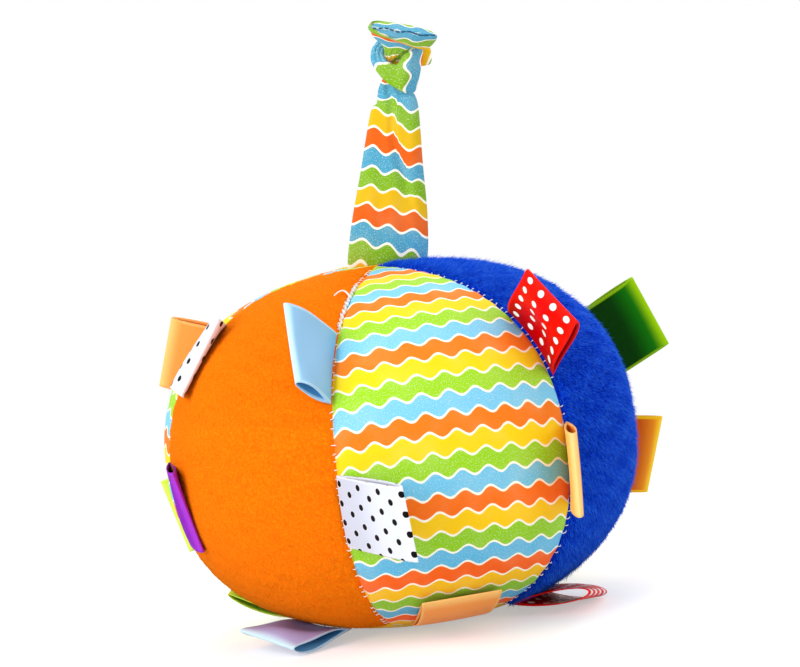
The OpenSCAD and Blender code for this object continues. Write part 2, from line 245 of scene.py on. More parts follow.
def shell(outer: Array, inner: Array, cloth: Array) -> Surface:
    """A closed shell between two grids whose last rows may each be one point.

    The shell is one wrapped grid: the outer columns to the right, the inner ones back
    again, and the first once more. A strip joins the two first rows.

    Args:
        outer: grid of the outside, rows up and columns to the right.
        inner: grid of the inside, of the same shape.
        cloth: places on the cloth of either grid.

    Returns:
        The shell's surface, to be welded.
    """
    wrapped = np.concatenate([outer, inner[:, ::-1], outer[:, :1]], axis=1)
    places = np.concatenate([cloth, cloth[:, ::-1], cloth[:, :1]], axis=1)
    hem = np.stack([inner[0], outer[0]])
    return Surface.joined(
        [
            Surface.from_grid(wrapped, places),
            Surface.from_grid(hem, np.stack([cloth[0], cloth[0]])),
        ]
    )


def tubes(paths: Array, radii: Array, sides: int) -> Surface:
    """Round tubes along many short paths at once, closed at both ends.

    Each ring stands square to its path: a point is the path's plus the radius times the
    cosine and the sine of its angle along two directions square to the heading.

    Args:
        paths: places, tubes by stations by three.
        radii: radius at each station, tubes by stations.
        sides: corners of each ring.

    Returns:
        One surface with every tube, its cloth map running round and along each.
    """
    count, stations = paths.shape[:2]
    heading = unit(np.gradient(paths, axis=1))
    helper = np.where(np.abs(heading[..., 2:3]) > 0.8, [[[1.0, 0.0, 0.0]]], [[[0.0, 0.0, 1.0]]])
    first = unit(np.cross(helper, heading))
    second = np.cross(heading, first)
    cosine, sine = turned(np.linspace(0.0, 2.0 * np.pi, sides, endpoint=False))
    spoke = first[..., None, :] * cosine[:, None] + second[..., None, :] * sine[:, None]
    rings = paths[..., None, :] + spoke * radii[..., None, None]
    ends = np.stack([paths[:, :1], paths[:, -1:]], axis=1).reshape(count, 2, 3)
    points = np.concatenate([rings.reshape(count, -1, 3), ends], axis=1)
    ring = np.arange(sides)
    after = (ring + 1) % sides
    step = np.arange(stations - 1)[:, None] * sides
    quads = np.stack(
        [step + ring, step + after, step + sides + after, step + sides + ring], axis=-1
    ).reshape(-1, 4)
    last, low = (stations - 1) * sides, stations * sides
    caps = np.concatenate(
        [
            np.stack([np.full(sides, low), after, ring], axis=-1),
            np.stack([np.full(sides, low + 1), last + ring, last + after], axis=-1),
        ]
    )
    start = np.arange(count)[:, None, None] * (low + 2)
    along = np.linalg.norm(np.diff(paths, axis=1), axis=-1).cumsum(axis=1)
    along = np.concatenate([np.zeros((count, 1)), along], axis=1)
    place = np.stack(
        np.broadcast_arrays(radii[..., None] * ring * 2.0 * np.pi / sides, along[..., None]),
        axis=-1,
    ).reshape(count, -1, 2)
    place = np.concatenate([place, place[:, :1], place[:, -1:]], axis=1).reshape(-1, 2)
    faces = [(quads + start).reshape(-1, 4), (caps + start).reshape(-1, 3)]
    corners = np.concatenate([part.ravel() for part in faces])
    return Surface(points.reshape(-1, 3), faces, {CLOTH_MAP: place[corners]})


# Shader work.


class Reading:
    """A number that varies over a surface. Its arithmetic adds Math nodes."""

    def __init__(self, work: "NodeWork", socket: Socket) -> None:
        """Wraps an output socket of a material's tree."""
        self.work = work
        self.socket = socket

    def to(self, operation: str, *others: "Term") -> "Reading":
        """This number, with others, put through a Math node."""
        return self.work.maths(operation, self, *others)

    def __add__(self, other: "Term") -> "Reading":
        """Sum."""
        return self.to("ADD", other)

    __radd__ = __add__

    def __sub__(self, other: "Term") -> "Reading":
        """Difference."""
        return self.to("SUBTRACT", other)

    def __rsub__(self, other: "Term") -> "Reading":
        """Difference from a number."""
        return self.work.maths("SUBTRACT", other, self)

    def __mul__(self, other: "Term") -> "Reading":
        """Product."""
        return self.to("MULTIPLY", other)

    __rmul__ = __mul__

    def __truediv__(self, other: "Term") -> "Reading":
        """Quotient."""
        return self.to("DIVIDE", other)

    def __rtruediv__(self, other: "Term") -> "Reading":
        """Number divided by this."""
        return self.work.maths("DIVIDE", other, self)

    def __mod__(self, other: "Term") -> "Reading":
        """What is left over a multiple, never below zero."""
        return self.to("FLOORED_MODULO", other)

    def __rmod__(self, other: "Term") -> "Reading":
        """What is left of a number over a multiple of this."""
        return self.work.maths("FLOORED_MODULO", other, self)

    def sine(self) -> "Reading":
        """Sine of this angle in radians."""
        return self.to("SINE")

    def size(self) -> "Reading":
        """Size without sign."""
        return self.to("ABSOLUTE")

    def whole(self) -> "Reading":
        """Whole part."""
        return self.to("FLOOR")

    def part(self) -> "Reading":
        """Part after the point."""
        return self.to("FRACT")

    def most(self, other: "Term") -> "Reading":
        """The larger of two."""
        return self.to("MAXIMUM", other)

    def eased(self, low: float, high: float) -> "Reading":
        """Smooth step from 0 at low to 1 at high, falling where high is the smaller.

        Args:
            low, high: readings at which the step starts and ends.

        Returns:
            The step.
        """
        if high < low:
            return 1.0 - self.eased(high, low)
        node = self.work.add(
            "ShaderNodeMapRange",
            {"interpolation_type": "SMOOTHSTEP"},
            {"Value": self, "From Min": low, "From Max": high},
        )
        return Reading(self.work, node.outputs["Result"])


Term = Union[Reading, float, int]


class NodeWork:
    """The nodes of a material, or of the surroundings, while they are put together."""

    def __init__(self, owner: Material | bpy.types.World) -> None:
        """Starts with an empty tree.

        Args:
            owner: what the nodes belong to.
        """
        owner.use_nodes = True
        self.owner = owner
        self.tree = owner.node_tree
        self.tree.nodes.clear()

    @staticmethod
    def of_material(name: str) -> "NodeWork":
        """Starts a new material."""
        return NodeWork(bpy.data.materials.new(name))

    def add(
        self,
        kind: str,
        settings: dict[str, Any] | None = None,
        inputs: dict[Any, Any] | None = None,
    ) -> Node:
        """Adds a node.

        Args:
            kind: the node's type.
            settings: its settings, which are set first. "stops" gives a ramp's stops.
            inputs: values or links of its sockets, by name or number.

        Returns:
            The node.
        """
        node = self.tree.nodes.new(kind)
        for key, value in (settings or {}).items():
            if key == "stops":
                self._set_stops(node.color_ramp, value)
            else:
                setattr(node, key, value)
        for key, value in (inputs or {}).items():
            socket = node.inputs[key]
            if isinstance(value, Reading):
                value = value.socket
            if isinstance(value, Socket):
                self.tree.links.new(value, socket)
            else:
                socket.default_value = value
        return node

    @staticmethod
    def _set_stops(ramp: bpy.types.ColorRamp, stops: Sequence[tuple[float, Colour]]) -> None:
        """Gives a ramp its stops, each a place and a colour.

        Args:
            ramp: the ramp.
            stops: the stops.
        """
        while len(ramp.elements) > 1:
            ramp.elements.remove(ramp.elements[-1])
        ramp.elements[0].position, ramp.elements[0].color = stops[0]
        for position, colour in stops[1:]:
            ramp.elements.new(position).color = colour

    def maths(self, operation: str, *terms: Term) -> Reading:
        """A Math node of the terms."""
        node = self.add("ShaderNodeMath", {"operation": operation}, dict(enumerate(terms)))
        return Reading(self, node.outputs[0])

    def cloth(self) -> tuple[Reading, Reading]:
        """Places on the cloth: across and along, in metres.

        Returns:
            The two readings.
        """
        place = self.add("ShaderNodeUVMap", {"uv_map": CLOTH_MAP}).outputs["UV"]
        apart = self.add("ShaderNodeSeparateXYZ", inputs={0: place})
        return Reading(self, apart.outputs[0]), Reading(self, apart.outputs[1])

    def object_place(self) -> Socket:
        """Places in the object's own frame, in metres."""
        return self.add("ShaderNodeTexCoord").outputs["Object"]

    def vector(self, x: Term, y: Term) -> Socket:
        """A level vector of two numbers."""
        return self.add("ShaderNodeCombineXYZ", inputs={0: x, 1: y}).outputs[0]

    def mark(self, name: str) -> Reading:
        """An attribute of the mesh."""
        node = self.add("ShaderNodeAttribute", {"attribute_name": name})
        return Reading(self, node.outputs["Fac"])

    def noise(self, place: Socket, per_metre: float, detail: float = 2.0) -> Reading:
        """Cloudy noise from 0 to 1, by its clouds in a metre and its finer octaves."""
        inputs = {"Vector": place, "Scale": per_metre, "Detail": detail}
        return Reading(self, self.add("ShaderNodeTexNoise", inputs=inputs).outputs[0])

    def cells(self, place: Any, per_metre: float) -> Reading:
        """Distance to the nearest of scattered points, in shares of a cell."""
        node = self.add("ShaderNodeTexVoronoi", inputs={"Vector": place, "Scale": per_metre})
        return Reading(self, node.outputs["Distance"])

    def mix(self, amount: Term, base: Any, over: Any) -> Socket:
        """The colour of base with an amount of the colour over it, links or values."""
        inputs = {0: amount, 6: base, 7: over}
        return self.add("ShaderNodeMix", {"data_type": "RGBA"}, inputs).outputs[2]

    def ramp(
        self, reading: Reading, stops: Sequence[tuple[float, Colour]], steps: bool = False
    ) -> Socket:
        """Colours of a ramp.

        Args:
            reading: where on the ramp each place is.
            stops: pairs of place and colour.
            steps: whether each colour holds up to the next stop.

        Returns:
            The colour's socket.
        """
        node = self.add("ShaderNodeValToRGB", {"stops": stops}, {0: reading})
        if steps:
            node.color_ramp.interpolation = "CONSTANT"
        return node.outputs[0]

    def bump(self, height: Reading, depth: float, under: Any = None) -> Any:
        """Relief of a real depth.

        Args:
            height: relief from 0 to 1.
            depth: its depth in metres.
            under: normal of a coarser relief below it.

        Returns:
            The normal's socket.
        """
        inputs: dict[Any, Any] = {"Height": height, "Distance": depth, "Strength": 1.0}
        if under is not None:
            inputs["Normal"] = under
        return self.add("ShaderNodeBump", inputs=inputs).outputs[0]

    def rays(self, *kinds: str) -> Reading:
        """1 on a ray of one of the kinds that the Light Path node names, and else 0.

        Args:
            kinds: names of the kinds.

        Returns:
            The reading.
        """
        path = self.add("ShaderNodeLightPath")
        found = Reading(self, path.outputs[f"Is {kinds[0]} Ray"])
        for kind in kinds[1:]:
            found = found.most(Reading(self, path.outputs[f"Is {kind} Ray"]))
        return found

    def blended(self, share: Reading, one: Node, two: Node) -> Node:
        """Two shaders mixed by the share of the second."""
        inputs = {0: share, 1: one.outputs[0], 2: two.outputs[0]}
        return self.add("ShaderNodeMixShader", inputs=inputs)

    def finish(self, **sockets: Any) -> Material:
        """Closes the material with its shader.

        Args:
            sockets: the shader's sockets by name, with underscores for spaces.

        Returns:
            The material.
        """
        inputs = {key.replace("_", " "): value for key, value in sockets.items()}
        shader = self.add("ShaderNodeBsdfPrincipled", inputs=inputs)
        self.add("ShaderNodeOutputMaterial", inputs={"Surface": shader.outputs[0]})
        return self.owner


@dataclass(frozen=True)
class Finish:
    """What every finish has and does: its material's name, and its way onto pieces."""

    name: str

    def material(self) -> Material:
        """Builds the finish's material."""
        raise NotImplementedError

    def put_on(self, *pieces: Piece) -> None:
        """Gives pieces this finish.

        Args:
            pieces: mesh objects.
        """
        made = self.material()
        for piece in pieces:
            if piece.material_slots:
                for place in piece.material_slots:
                    place.material = made
            else:
                piece.data.materials.append(made)


@dataclass(frozen=True)
class StripedCotton(Finish):
    """Printed jersey with wavy bands that repeat in four colours.

    Args:
        bands: colours of the four bands, counted against the cloth's second direction
            from band_zero.
        shaded_low_bands: the same colours, deeper and warmer low down, as painted shade.
        band_zero: place along the cloth of the middle of the first of them.
        pitch: width of one band.
        wave_length: length of one wave.
        wave_height: how far a wave rises over its middle.
        wave_crest: place across the cloth of one crest.
        line_width: width of the pale line between two bands.
        line: colour of that line.
        low_from, low_to: places along the cloth where that painted shade starts and rules.
        wobble: how far the bands' edges stray.
        knit, relief: spacing and depth of the knitted loops.
    """

    bands: tuple[Colour, Colour, Colour, Colour]
    shaded_low_bands: tuple[Colour, Colour, Colour, Colour]
    band_zero: float
    pitch: float
    wave_length: float
    wave_height: float
    wave_crest: float
    line_width: float = 0.62 * MM
    line: Colour = paint(255, 250, 230)
    low_from: float = 24.0 * MM
    low_to: float = -46.0 * MM
    wobble: float = 0.5 * MM
    knit: float = 0.62 * MM
    relief: float = 0.05 * MM

    def material(self) -> Material:
        """Bands by the place along the cloth, less the wave, counted in pitches.

        Pale flecks lie over them, more on the blue and the green than on the others.

        Returns:
            The material.
        """
        work = NodeWork.of_material(self.name)
        across, along = work.cloth()
        place = work.vector(across, along)
        wobble = work.noise(place, 210.0, 1.0) - 0.5
        phase = (across - self.wave_crest) * (2.0 * math.pi / self.wave_length)
        wave = (phase + math.pi / 2.0 + wobble * 0.5).sine() * self.wave_height
        count = (self.band_zero - along + wave + wobble * self.wobble) / self.pitch + 0.5
        band = count.whole() % 4.0
        high, low = (
            work.ramp(band / 4.0 + 0.125, [(0.25 * i, tone) for i, tone in enumerate(tones)], True)
            for tones in (self.bands, self.shaded_low_bands)
        )
        # Painted shade: the bands turn deeper and warmer lower down the cloth.
        colour = work.mix(along.eased(self.low_from, self.low_to), high, low)
        grain = work.noise(place, 2600.0, 1.0)
        cool = (band - 1.5).size().eased(0.9, 1.1)
        flecks = grain.eased(0.54, 0.7) * (cool * 0.26 + 0.03)
        colour = work.mix(flecks, colour, paint(250, 255, 240))
        cloud = work.noise(place, 90.0, 2.0)
        colour = work.mix(cloud.eased(0.4, 0.8) * 0.07, colour, paint(255, 244, 200))
        edge = (count.part() - 0.5).size()
        half_line = self.line_width / 2.0 / self.pitch
        line = edge.eased(0.5 - half_line * 1.5, 0.5 - half_line * 0.8)
        colour = work.mix(line, colour, self.line)
        turns = 2.0 * math.pi / self.knit
        knit = (across * turns).sine() * (along * (turns * 0.8)).sine() * 0.5 + 0.5
        relief = knit * 0.6 + grain * 0.4
        return work.finish(
            Base_Color=colour,
            Roughness=relief * 0.1 + 0.74,
            Normal=work.bump(relief, self.relief),
            Sheen_Weight=0.04,
            Sheen_Roughness=0.5,
            Specular_IOR_Level=0.2,
        )


@dataclass(frozen=True)
class PlushGround(Finish):
    """Knitted ground of a plush, seen between its fibres.

    Args:
        deep: colour in the hollows of the knit, painted shade.
        light: colour on its raised loops.
        loops: loops in a metre.
        sheen: weight of the soft rim light.
        sheen_tint: its colour.
        relief: depth of the knit.
    """

    deep: Colour
    light: Colour
    loops: float
    sheen: float
    sheen_tint: Colour
    relief: float = 0.22 * MM

    def material(self) -> Material:
        """Small raised cells with a fine noise over them and broad clouds under them.

        Returns:
            The material.
        """
        work = NodeWork.of_material(self.name)
        place = work.object_place()
        loop = 1.0 - work.cells(place, self.loops)
        fine = work.noise(place, self.loops * 2.6, 2.0)
        cloud = work.noise(place, 60.0, 2.0)
        height = loop * 0.6 + fine * 0.4
        # Painted shade: the knit's hollows take the deep colour.
        colour = work.mix(height.eased(0.35, 0.75), self.deep, self.light)
        colour = work.mix((cloud - 0.5) * 0.5 + 0.25, colour, self.deep)
        return work.finish(
            Base_Color=colour,
            Roughness=fine * 0.15 + 0.8,
            Normal=work.bump(height, self.relief),
            Sheen_Weight=self.sheen,
            Sheen_Roughness=0.35,
            Sheen_Tint=self.sheen_tint,
            Specular_IOR_Level=0.04,
        )


@dataclass(frozen=True)
class PileFinish(Finish):
    """Fibres of a plush, deep at the root and light at the tip.

    Args:
        root: colour at the root, painted shade.
        middle: colour halfway.
        tip: colour at the tip, painted light.
        sheen: weight of the soft rim light.
        sheen_tint: its colour.
    """

    root: Colour
    middle: Colour
    tip: Colour
    sheen: float
    sheen_tint: Colour

    def material(self) -> Material:
        """A ramp along each fibre, moved up or down by the fibre's own shade.

        Returns:
            The material.
        """
        work = NodeWork.of_material(self.name)
        along, shade = work.mark("along"), work.mark("shade")
        place = along * 0.55 + shade * 0.45
        # Painted shade at the root of each fibre and painted light at its tip.
        colour = work.ramp(place, [(0.05, self.root), (0.5, self.middle), (0.95, self.tip)])
        return work.finish(
            Base_Color=colour,
            Roughness=0.75 - shade * 0.15,
            Sheen_Weight=self.sheen,
            Sheen_Roughness=0.4,
            Sheen_Tint=self.sheen_tint,
            Specular_IOR_Level=0.05,
        )


class Weave(Enum):
    """How a ribbon is woven: ribs in a metre, their depth and the roughness."""

    SATIN = (3300.0, 0.02 * MM, 0.34)
    GROSGRAIN = (1250.0, 0.11 * MM, 0.62)


@dataclass(frozen=True)
class Dots:
    """Round dots in staggered rows.

    Args:
        colour: their colour.
        rim: colour of the thin rim round each of them.
        width: width of one dot.
        across: spacing within a row.
        along: spacing of the rows.
        stagger: share of the spacing by which each second row is moved.
    """

    colour: Colour
    rim: Colour
    width: float
    across: float
    along: float
    stagger: float


@dataclass(frozen=True)
class Ribbon(Finish):
    """Woven ribbon whose ribs run across it, with a firm edge on each side.

    Args:
        colour: its colour.
        fold: colour where it catches the light at its fold and its edges.
        deep: colour in its shade, far from the fold and inside the loop: painted shade.
        weave: how it is woven.
        dots: printed dots, if it has any.
        width: the ribbon's width.
        reach: how far the light of the fold reaches.
        shade_from, shade_to: distances from the fold where the shade starts and rules.
        lining: colour inside the loop, where it isn't the deep one.
        edge_from, edge_to: distances from its side where its firm edge starts and rules.
        ridge: how far that edge stands up.
        slot: its material's name in the record, where it isn't the finish's own. It is not used.
    """

    colour: Colour
    fold: Colour
    deep: Colour
    weave: Weave = Weave.SATIN
    dots: Dots | None = None
    width: float = 24.0 * MM
    reach: float = 2.2 * MM
    shade_from: float = 9.0 * MM
    shade_to: float = 24.0 * MM
    lining: Colour | None = None
    edge_from: float = 1.1 * MM
    edge_to: float = 0.5 * MM
    ridge: float = 0.12 * MM
    slot: str = ""

    def material(self) -> Material:
        """Ribs along the cloth's second direction, dots in a staggered lattice.

        Returns:
            The material.
        """
        work = NodeWork.of_material(self.name)
        across, along = work.cloth()
        off = work.mark("fold")
        fold_highlight = off.eased(self.reach * 1.8, 0.0)
        place = work.vector(across, along)
        streak = work.noise(work.vector(across * 6.0, along * 60.0), 60.0, 2.0)
        # Painted shade away from the fold, and inside the loop where there is no lining.
        shade = off.eased(self.shade_from, self.shade_to)
        colour = work.mix(shade * (streak * 0.3 + 0.8), self.colour, self.deep)
        colour = work.mix(work.mark("inside") * 0.85, colour, self.lining or self.deep)
        half = self.width / 2.0
        edge = across.size().eased(half - self.edge_from, half - self.edge_to)
        # Painted highlight: the fold's colour near the fold and along both edges.
        colour = work.mix((fold_highlight * 0.85).most(edge * 0.5), colour, self.fold)
        if self.dots is not None:
            colour = self._dotted(work, across, along, colour)
        ribs, depth, roughness = self.weave.value
        rib = (along * (2.0 * math.pi * ribs)).sine() * 0.5 + 0.5
        thread = work.noise(place, 5000.0, 1.0)
        relief = rib * 0.75 + thread * 0.25
        ridge = work.bump(edge, self.ridge)
        return work.finish(
            Base_Color=colour,
            Roughness=roughness + streak * 0.1,
            Normal=work.bump(relief, depth, ridge),
            Anisotropic=0.4 if self.weave is Weave.SATIN else 0.0,
            Specular_IOR_Level=0.04,
        )

    def _dotted(self, work: NodeWork, across: Reading, along: Reading, under: Any) -> Any:
        """Dots over the ribbon's colour: each second row is moved by the stagger.

        Args:
            work: the material's tree.
            across, along: places on the ribbon.
            under: the ribbon's own colour.

        Returns:
            The colour with its dots.
        """
        dots = self.dots
        row = along / dots.along
        shift = (row.whole() % 2.0) * dots.stagger
        x = ((across / dots.across + shift).part() - 0.5) * dots.across
        y = (row.part() - 0.5) * dots.along
        radius = (x * x + y * y).to("SQRT")
        rim = radius.eased(dots.width * 0.68, dots.width * 0.58) * 0.6
        dot = radius.eased(dots.width * 0.54, dots.width * 0.46)
        return work.mix(dot, work.mix(rim, under, dots.rim), dots.colour)


@dataclass(frozen=True)
class TwoTone(Finish):
    """A finish of two colours.

    Args:
        colour: its colour.
        shade: colour in its hollows as painted shade, or its second colour in streaks.
    """

    colour: Colour
    shade: Colour


@dataclass(frozen=True)
class PlainCloth(TwoTone):
    """Plain woven cloth.

    Args:
        threads: threads in a metre.
        relief: depth of the weave.
    """

    threads: float = 1500.0
    relief: float = 0.1 * MM

    def material(self) -> Material:
        """Two crossing waves make the weave, and noise its slubs.

        Returns:
            The material.
        """
        work = NodeWork.of_material(self.name)
        across, along = work.cloth()
        turns = 2.0 * math.pi * self.threads
        weave = (across * turns).sine() * (along * turns).sine() * 0.5 + 0.5
        slub = work.noise(work.vector(across, along), 700.0, 3.0)
        height = weave * 0.6 + slub * 0.4
        return work.finish(
            Base_Color=work.mix(height.eased(0.25, 0.7), self.shade, self.colour),
            Roughness=slub * 0.15 + 0.75,
            Normal=work.bump(height, self.relief),
            Sheen_Weight=0.15,
            Specular_IOR_Level=0.25,
        )


@dataclass(frozen=True)
class Thread(TwoTone):
    """Twisted sewing thread.

    Args:
        lay, relief: spacing and depth of the twist's ridges.
    """

    lay: float = 0.4 * MM
    relief: float = 0.04 * MM

    def material(self) -> Material:
        """Slanting ridges that run round and along the thread.

        Returns:
            The material.
        """
        work = NodeWork.of_material(self.name)
        across, along = work.cloth()
        twist = ((across + along * 1.2) * (2.0 * math.pi / self.lay)).sine() * 0.5 + 0.5
        fluff = work.noise(work.object_place(), 3000.0, 1.0)
        return work.finish(
            Base_Color=work.mix(twist * 0.6 + fluff * 0.3, self.shade, self.colour),
            Roughness=fluff * 0.2 + 0.6,
            Normal=work.bump(twist, self.relief),
            Specular_IOR_Level=0.35,
        )


@dataclass(frozen=True)
class Moulded(TwoTone):
    """Moulded plastic with a faint grain, and its second colour in faint streaks.

    Args:
        roughness: how dull it is.
        relief: depth of the grain.
    """

    roughness: float = 0.3
    relief: float = 0.03 * MM

    def material(self) -> Material:
        """Broad flow streaks in the colour and a fine grain in the relief.

        Returns:
            The material.
        """
        work = NodeWork.of_material(self.name)
        place = work.object_place()
        streak = work.noise(place, 90.0, 3.0)
        grain = work.noise(place, 1800.0, 2.0)
        return work.finish(
            Base_Color=work.mix(streak.eased(0.3, 0.8) * 0.5, self.colour, self.shade),
            Roughness=grain * 0.12 + self.roughness,
            Normal=work.bump(grain, self.relief),
            Specular_IOR_Level=0.5,
        )


@dataclass(frozen=True)
class Wadding(TwoTone):
    """Loose fibre filling.

    Args:
        relief: depth of its lumps.
    """

    relief: float = 0.6 * MM

    def material(self) -> Material:
        """Long tangled streaks over soft lumps.

        Returns:
            The material.
        """
        work = NodeWork.of_material(self.name)
        place = work.object_place()
        lumps = work.noise(place, 140.0, 3.0)
        strands = work.noise(place, 900.0, 4.0)
        height = lumps * 0.5 + strands * 0.5
        return work.finish(
            Base_Color=work.mix(height.eased(0.3, 0.7), self.shade, self.colour),
            Roughness=strands * 0.1 + 0.85,
            Normal=work.bump(height, self.relief),
            Sheen_Weight=0.3,
            Specular_IOR_Level=0.1,
        )


# Ball.


@dataclass(frozen=True)
class BallShape:
    """Skin of the stuffed ball, as the model has it.

    Args:
        width, height: size of the ball before it settles.
        fullness: power of the side profile, where 2 is an ellipse.
        settle: how far it settles on its base.
        seam_dip: how far a seam is drawn in.
        patch_width: width of the base patch.
        panels: number of panels.
        front_turn: turn of the front panel's middle.
        left_slip: degrees by which the far left seam is sewn past its even place.
        top_slip: degrees more by which it slips near the top.
        slip_lats: latitudes where that starts and is whole.
    """

    width: float = 140.0 * MM
    height: float = 106.6 * MM
    fullness: float = 2.32
    settle: float = 0.5 * MM
    seam_dip: float = 1.3 * MM
    patch_width: float = 70.0 * MM
    panels: int = 6
    front_turn: float = 13.0
    left_slip: float = -4.5
    top_slip: float = -24.0
    slip_lats: tuple[float, float] = (34.0, 66.0)

    @property
    def radius(self) -> float:
        """Radius at the equator."""
        return self.width / 2.0

    @property
    def half_height(self) -> float:
        """Half of the unsettled height."""
        return self.height / 2.0

    @property
    def centre_z(self) -> float:
        """Height of the middle."""
        return self.half_height - self.settle

    @property
    def top_z(self) -> float:
        """Height of the top."""
        return self.centre_z + self.half_height

    @property
    def patch_lat(self) -> float:
        """Latitude of the base patch's seam.

        Returns:
            The latitude in degrees, below zero.
        """
        radius = self.patch_width / 2.0
        share = (1.0 - (radius / self.radius) ** self.fullness) ** (1.0 / self.fullness)
        return -math.degrees(math.atan2(self.half_height * share, radius))

    @property
    def patch_climb(self) -> float:
        """Way up the meridian from the equator to the patch's seam, below zero."""
        return float(self.climb(self.patch_lat))

    @property
    def top_climb(self) -> float:
        """Way up the meridian from the equator to the top."""
        return float(self.climb(90.0))

    @property
    def panel_turn(self) -> float:
        """Turn of one panel."""
        return 360.0 / self.panels

    @property
    def half_panel(self) -> float:
        """Half the width of a panel at the equator."""
        return float(self.half_gore(np.zeros(1))[0])

    def profile(self, lat: Array) -> Array:
        """Distance from the middle at a latitude.

        One over the root of (cosine over radius) and (sine over half height), each to the
        power of the fullness.

        Args:
            lat: the latitude.

        Returns:
            The distance.
        """
        cosine, sine = turned(np.radians(lat))
        power = self.fullness
        flat = (np.abs(cosine) / self.radius) ** power
        return (flat + (np.abs(sine) / self.half_height) ** power) ** (-1.0 / power)

    def girth(self, lat: Array) -> Array:
        """Radius of the level circle at a latitude."""
        return self.profile(lat) * np.cos(np.radians(lat))

    def across(self, turn: Array) -> Array:
        """Place across its panel, from -1 at its left seam to 1 at its right one."""
        part = (turn - self.front_turn) / self.panel_turn + 0.5
        return 2.0 * (part - np.floor(part)) - 1.0

    def sewn_turn(self, turn: Array, lat: Array | float = 0.0) -> Array:
        """Turn on the sewn ball of an even turn, eased round the far left seam.

        That seam slips a little all the way, and more towards the top.

        Args:
            turn: the even turn.
            lat: the latitude.

        Returns:
            The turn on the sewn ball.
        """
        middle = self.front_turn - 1.5 * self.panel_turn
        off = (turn - middle + 180.0) % 360.0 - 180.0
        slip = self.left_slip + self.top_slip * ease(*self.slip_lats, lat)
        slip = slip * np.cos(np.radians(off * 90.0 / self.panel_turn)) ** 2
        return turn + np.where(np.abs(off) < self.panel_turn, slip, 0.0)

    def level(self, turn: float) -> tuple[Array, Array]:
        """Level directions at a turn on the sewn ball: along the skin, and outwards."""
        cosine, sine = turned(np.radians(self.sewn_turn(np.array(turn))))
        return np.array([cosine, sine, 0.0]), np.array([sine, -cosine, 0.0])

    def skin(
        self, turn: Array, lat: Array, depth: Array | float = 0.0, across: Array | None = None
    ) -> Array:
        """Points of the cover.

        The distance from the middle is the profile less the seam's dip, which grows with
        the fourth power of the place across a panel and fades at the top and the patch.

        Args:
            turn, lat: where on the ball.
            depth: how far under the outside.
            across: place across the panel, where the turn alone leaves it open.

        Returns:
            Places with a last axis of three.
        """
        turn, lat, depth = np.broadcast_arrays(
            np.asarray(turn, float), np.asarray(lat, float), np.asarray(depth, float)
        )
        place = self.across(turn) if across is None else across
        along = np.clip((lat - self.patch_lat) / (90.0 - self.patch_lat), 0.0, 1.0)
        fade = np.sqrt(np.sin(np.pi * along).clip(0.0))
        radius = self.profile(lat) - self.seam_dip * fade * np.abs(place) ** 4 - depth
        cosine, sine = turned(np.radians(self.sewn_turn(turn, lat)))
        flat = radius * np.cos(np.radians(lat))
        height = np.maximum(radius * np.sin(np.radians(lat)) + self.centre_z, depth)
        return np.stack([flat * sine, -flat * cosine, height], axis=-1)

    def lat_along(self, lat: float, distance: Array) -> Array:
        """Latitude that lies a distance up the meridian from another one.

        Args:
            lat: the latitude to start from.
            distance: the way up.

        Returns:
            The latitude.
        """
        low = self.profile(lat - 0.5) * np.array(turned(math.radians(lat - 0.5)))
        high = self.profile(lat + 0.5) * np.array(turned(math.radians(lat + 0.5)))
        return lat + distance / np.linalg.norm(high - low)

    def _meridian(self) -> tuple[Array, Array]:
        """Latitudes and the way up the meridian to each, from the equator.

        Returns:
            The latitudes and the ways.
        """
        lat = np.linspace(-90.0, 90.0, 1441)
        cosine, sine = turned(np.radians(lat))
        line = self.profile(lat)[:, None] * np.stack([cosine, sine], axis=-1)
        way = np.concatenate([[0.0], np.linalg.norm(np.diff(line, axis=0), axis=1).cumsum()])
        return lat, way - way[len(way) // 2]

    def climb(self, lat: Array) -> Array:
        """Way up the meridian from the equator to a latitude."""
        return np.interp(lat, *self._meridian())

    def lat_at(self, climb: Array) -> Array:
        """Latitude at a way up the meridian from the equator."""
        lat, way = self._meridian()
        return np.interp(climb, way, lat)

    def half_gore(self, lat: Array) -> Array:
        """Half the width of a panel at a latitude."""
        return self.girth(lat) * math.radians(self.panel_turn) / 2.0


@dataclass(frozen=True)
class Pile:
    """Fibres of a plush panel.

    Args:
        finish: what they are made of.
        count: fibres in one piece.
        pieces: number of pieces the pile is split in, for their size.
        length: mean length of a fibre.
        thickness: thickness at the root.
        lay: how far the fibres lie down the panel, from 0 upright to 1 flat.
        scatter: how far their directions vary.
        bent: whether a fibre has a joint halfway.
        root: how deep its root stands under the outside.
        low_gap, high_gap, seam_gap: how far roots keep off the patch, the top and a seam.
        narrow: half width of a panel under which the gap at a seam grows no more.
        seam_length, seam_fade: share of the length at a seam, and where it is whole.
        uneven: how far the lengths vary, as a share.
        clump_lay, clump_swing: how far a clump lies down and aside together.
        joint, waist: place of the joint and the thickness there, as shares.
        droop: how far the tip hangs below its line, as a share of the length.
    """

    finish: PileFinish
    count: int
    pieces: int
    length: float
    thickness: float
    lay: float
    scatter: float
    bent: bool
    root: float = 0.15 * MM
    low_gap: float = 0.8 * MM
    high_gap: float = 0.6 * MM
    seam_gap: float = 0.35 * MM
    narrow: float = 1.0 * MM
    seam_length: float = 0.45
    seam_fade: float = 2.5 * MM
    uneven: float = 0.22
    clump_lay: float = 0.12
    clump_swing: float = 0.35
    joint: float = 0.55
    waist: float = 0.38
    droop: float = 0.28


@dataclass(frozen=True)
class Panel:
    """One sewn panel.

    Args:
        node: its node in the model, whose name the piece extends.
        place: its place round the ball, counted from the front panel.
        slot: its material's name in the record. It is not used.
        finish: finish of its cloth.
        pile: its fibres, if it is plush.
        seed: start of its random numbers.
    """

    node: str
    place: int
    slot: str
    finish: Finish
    pile: Pile | None
    seed: int


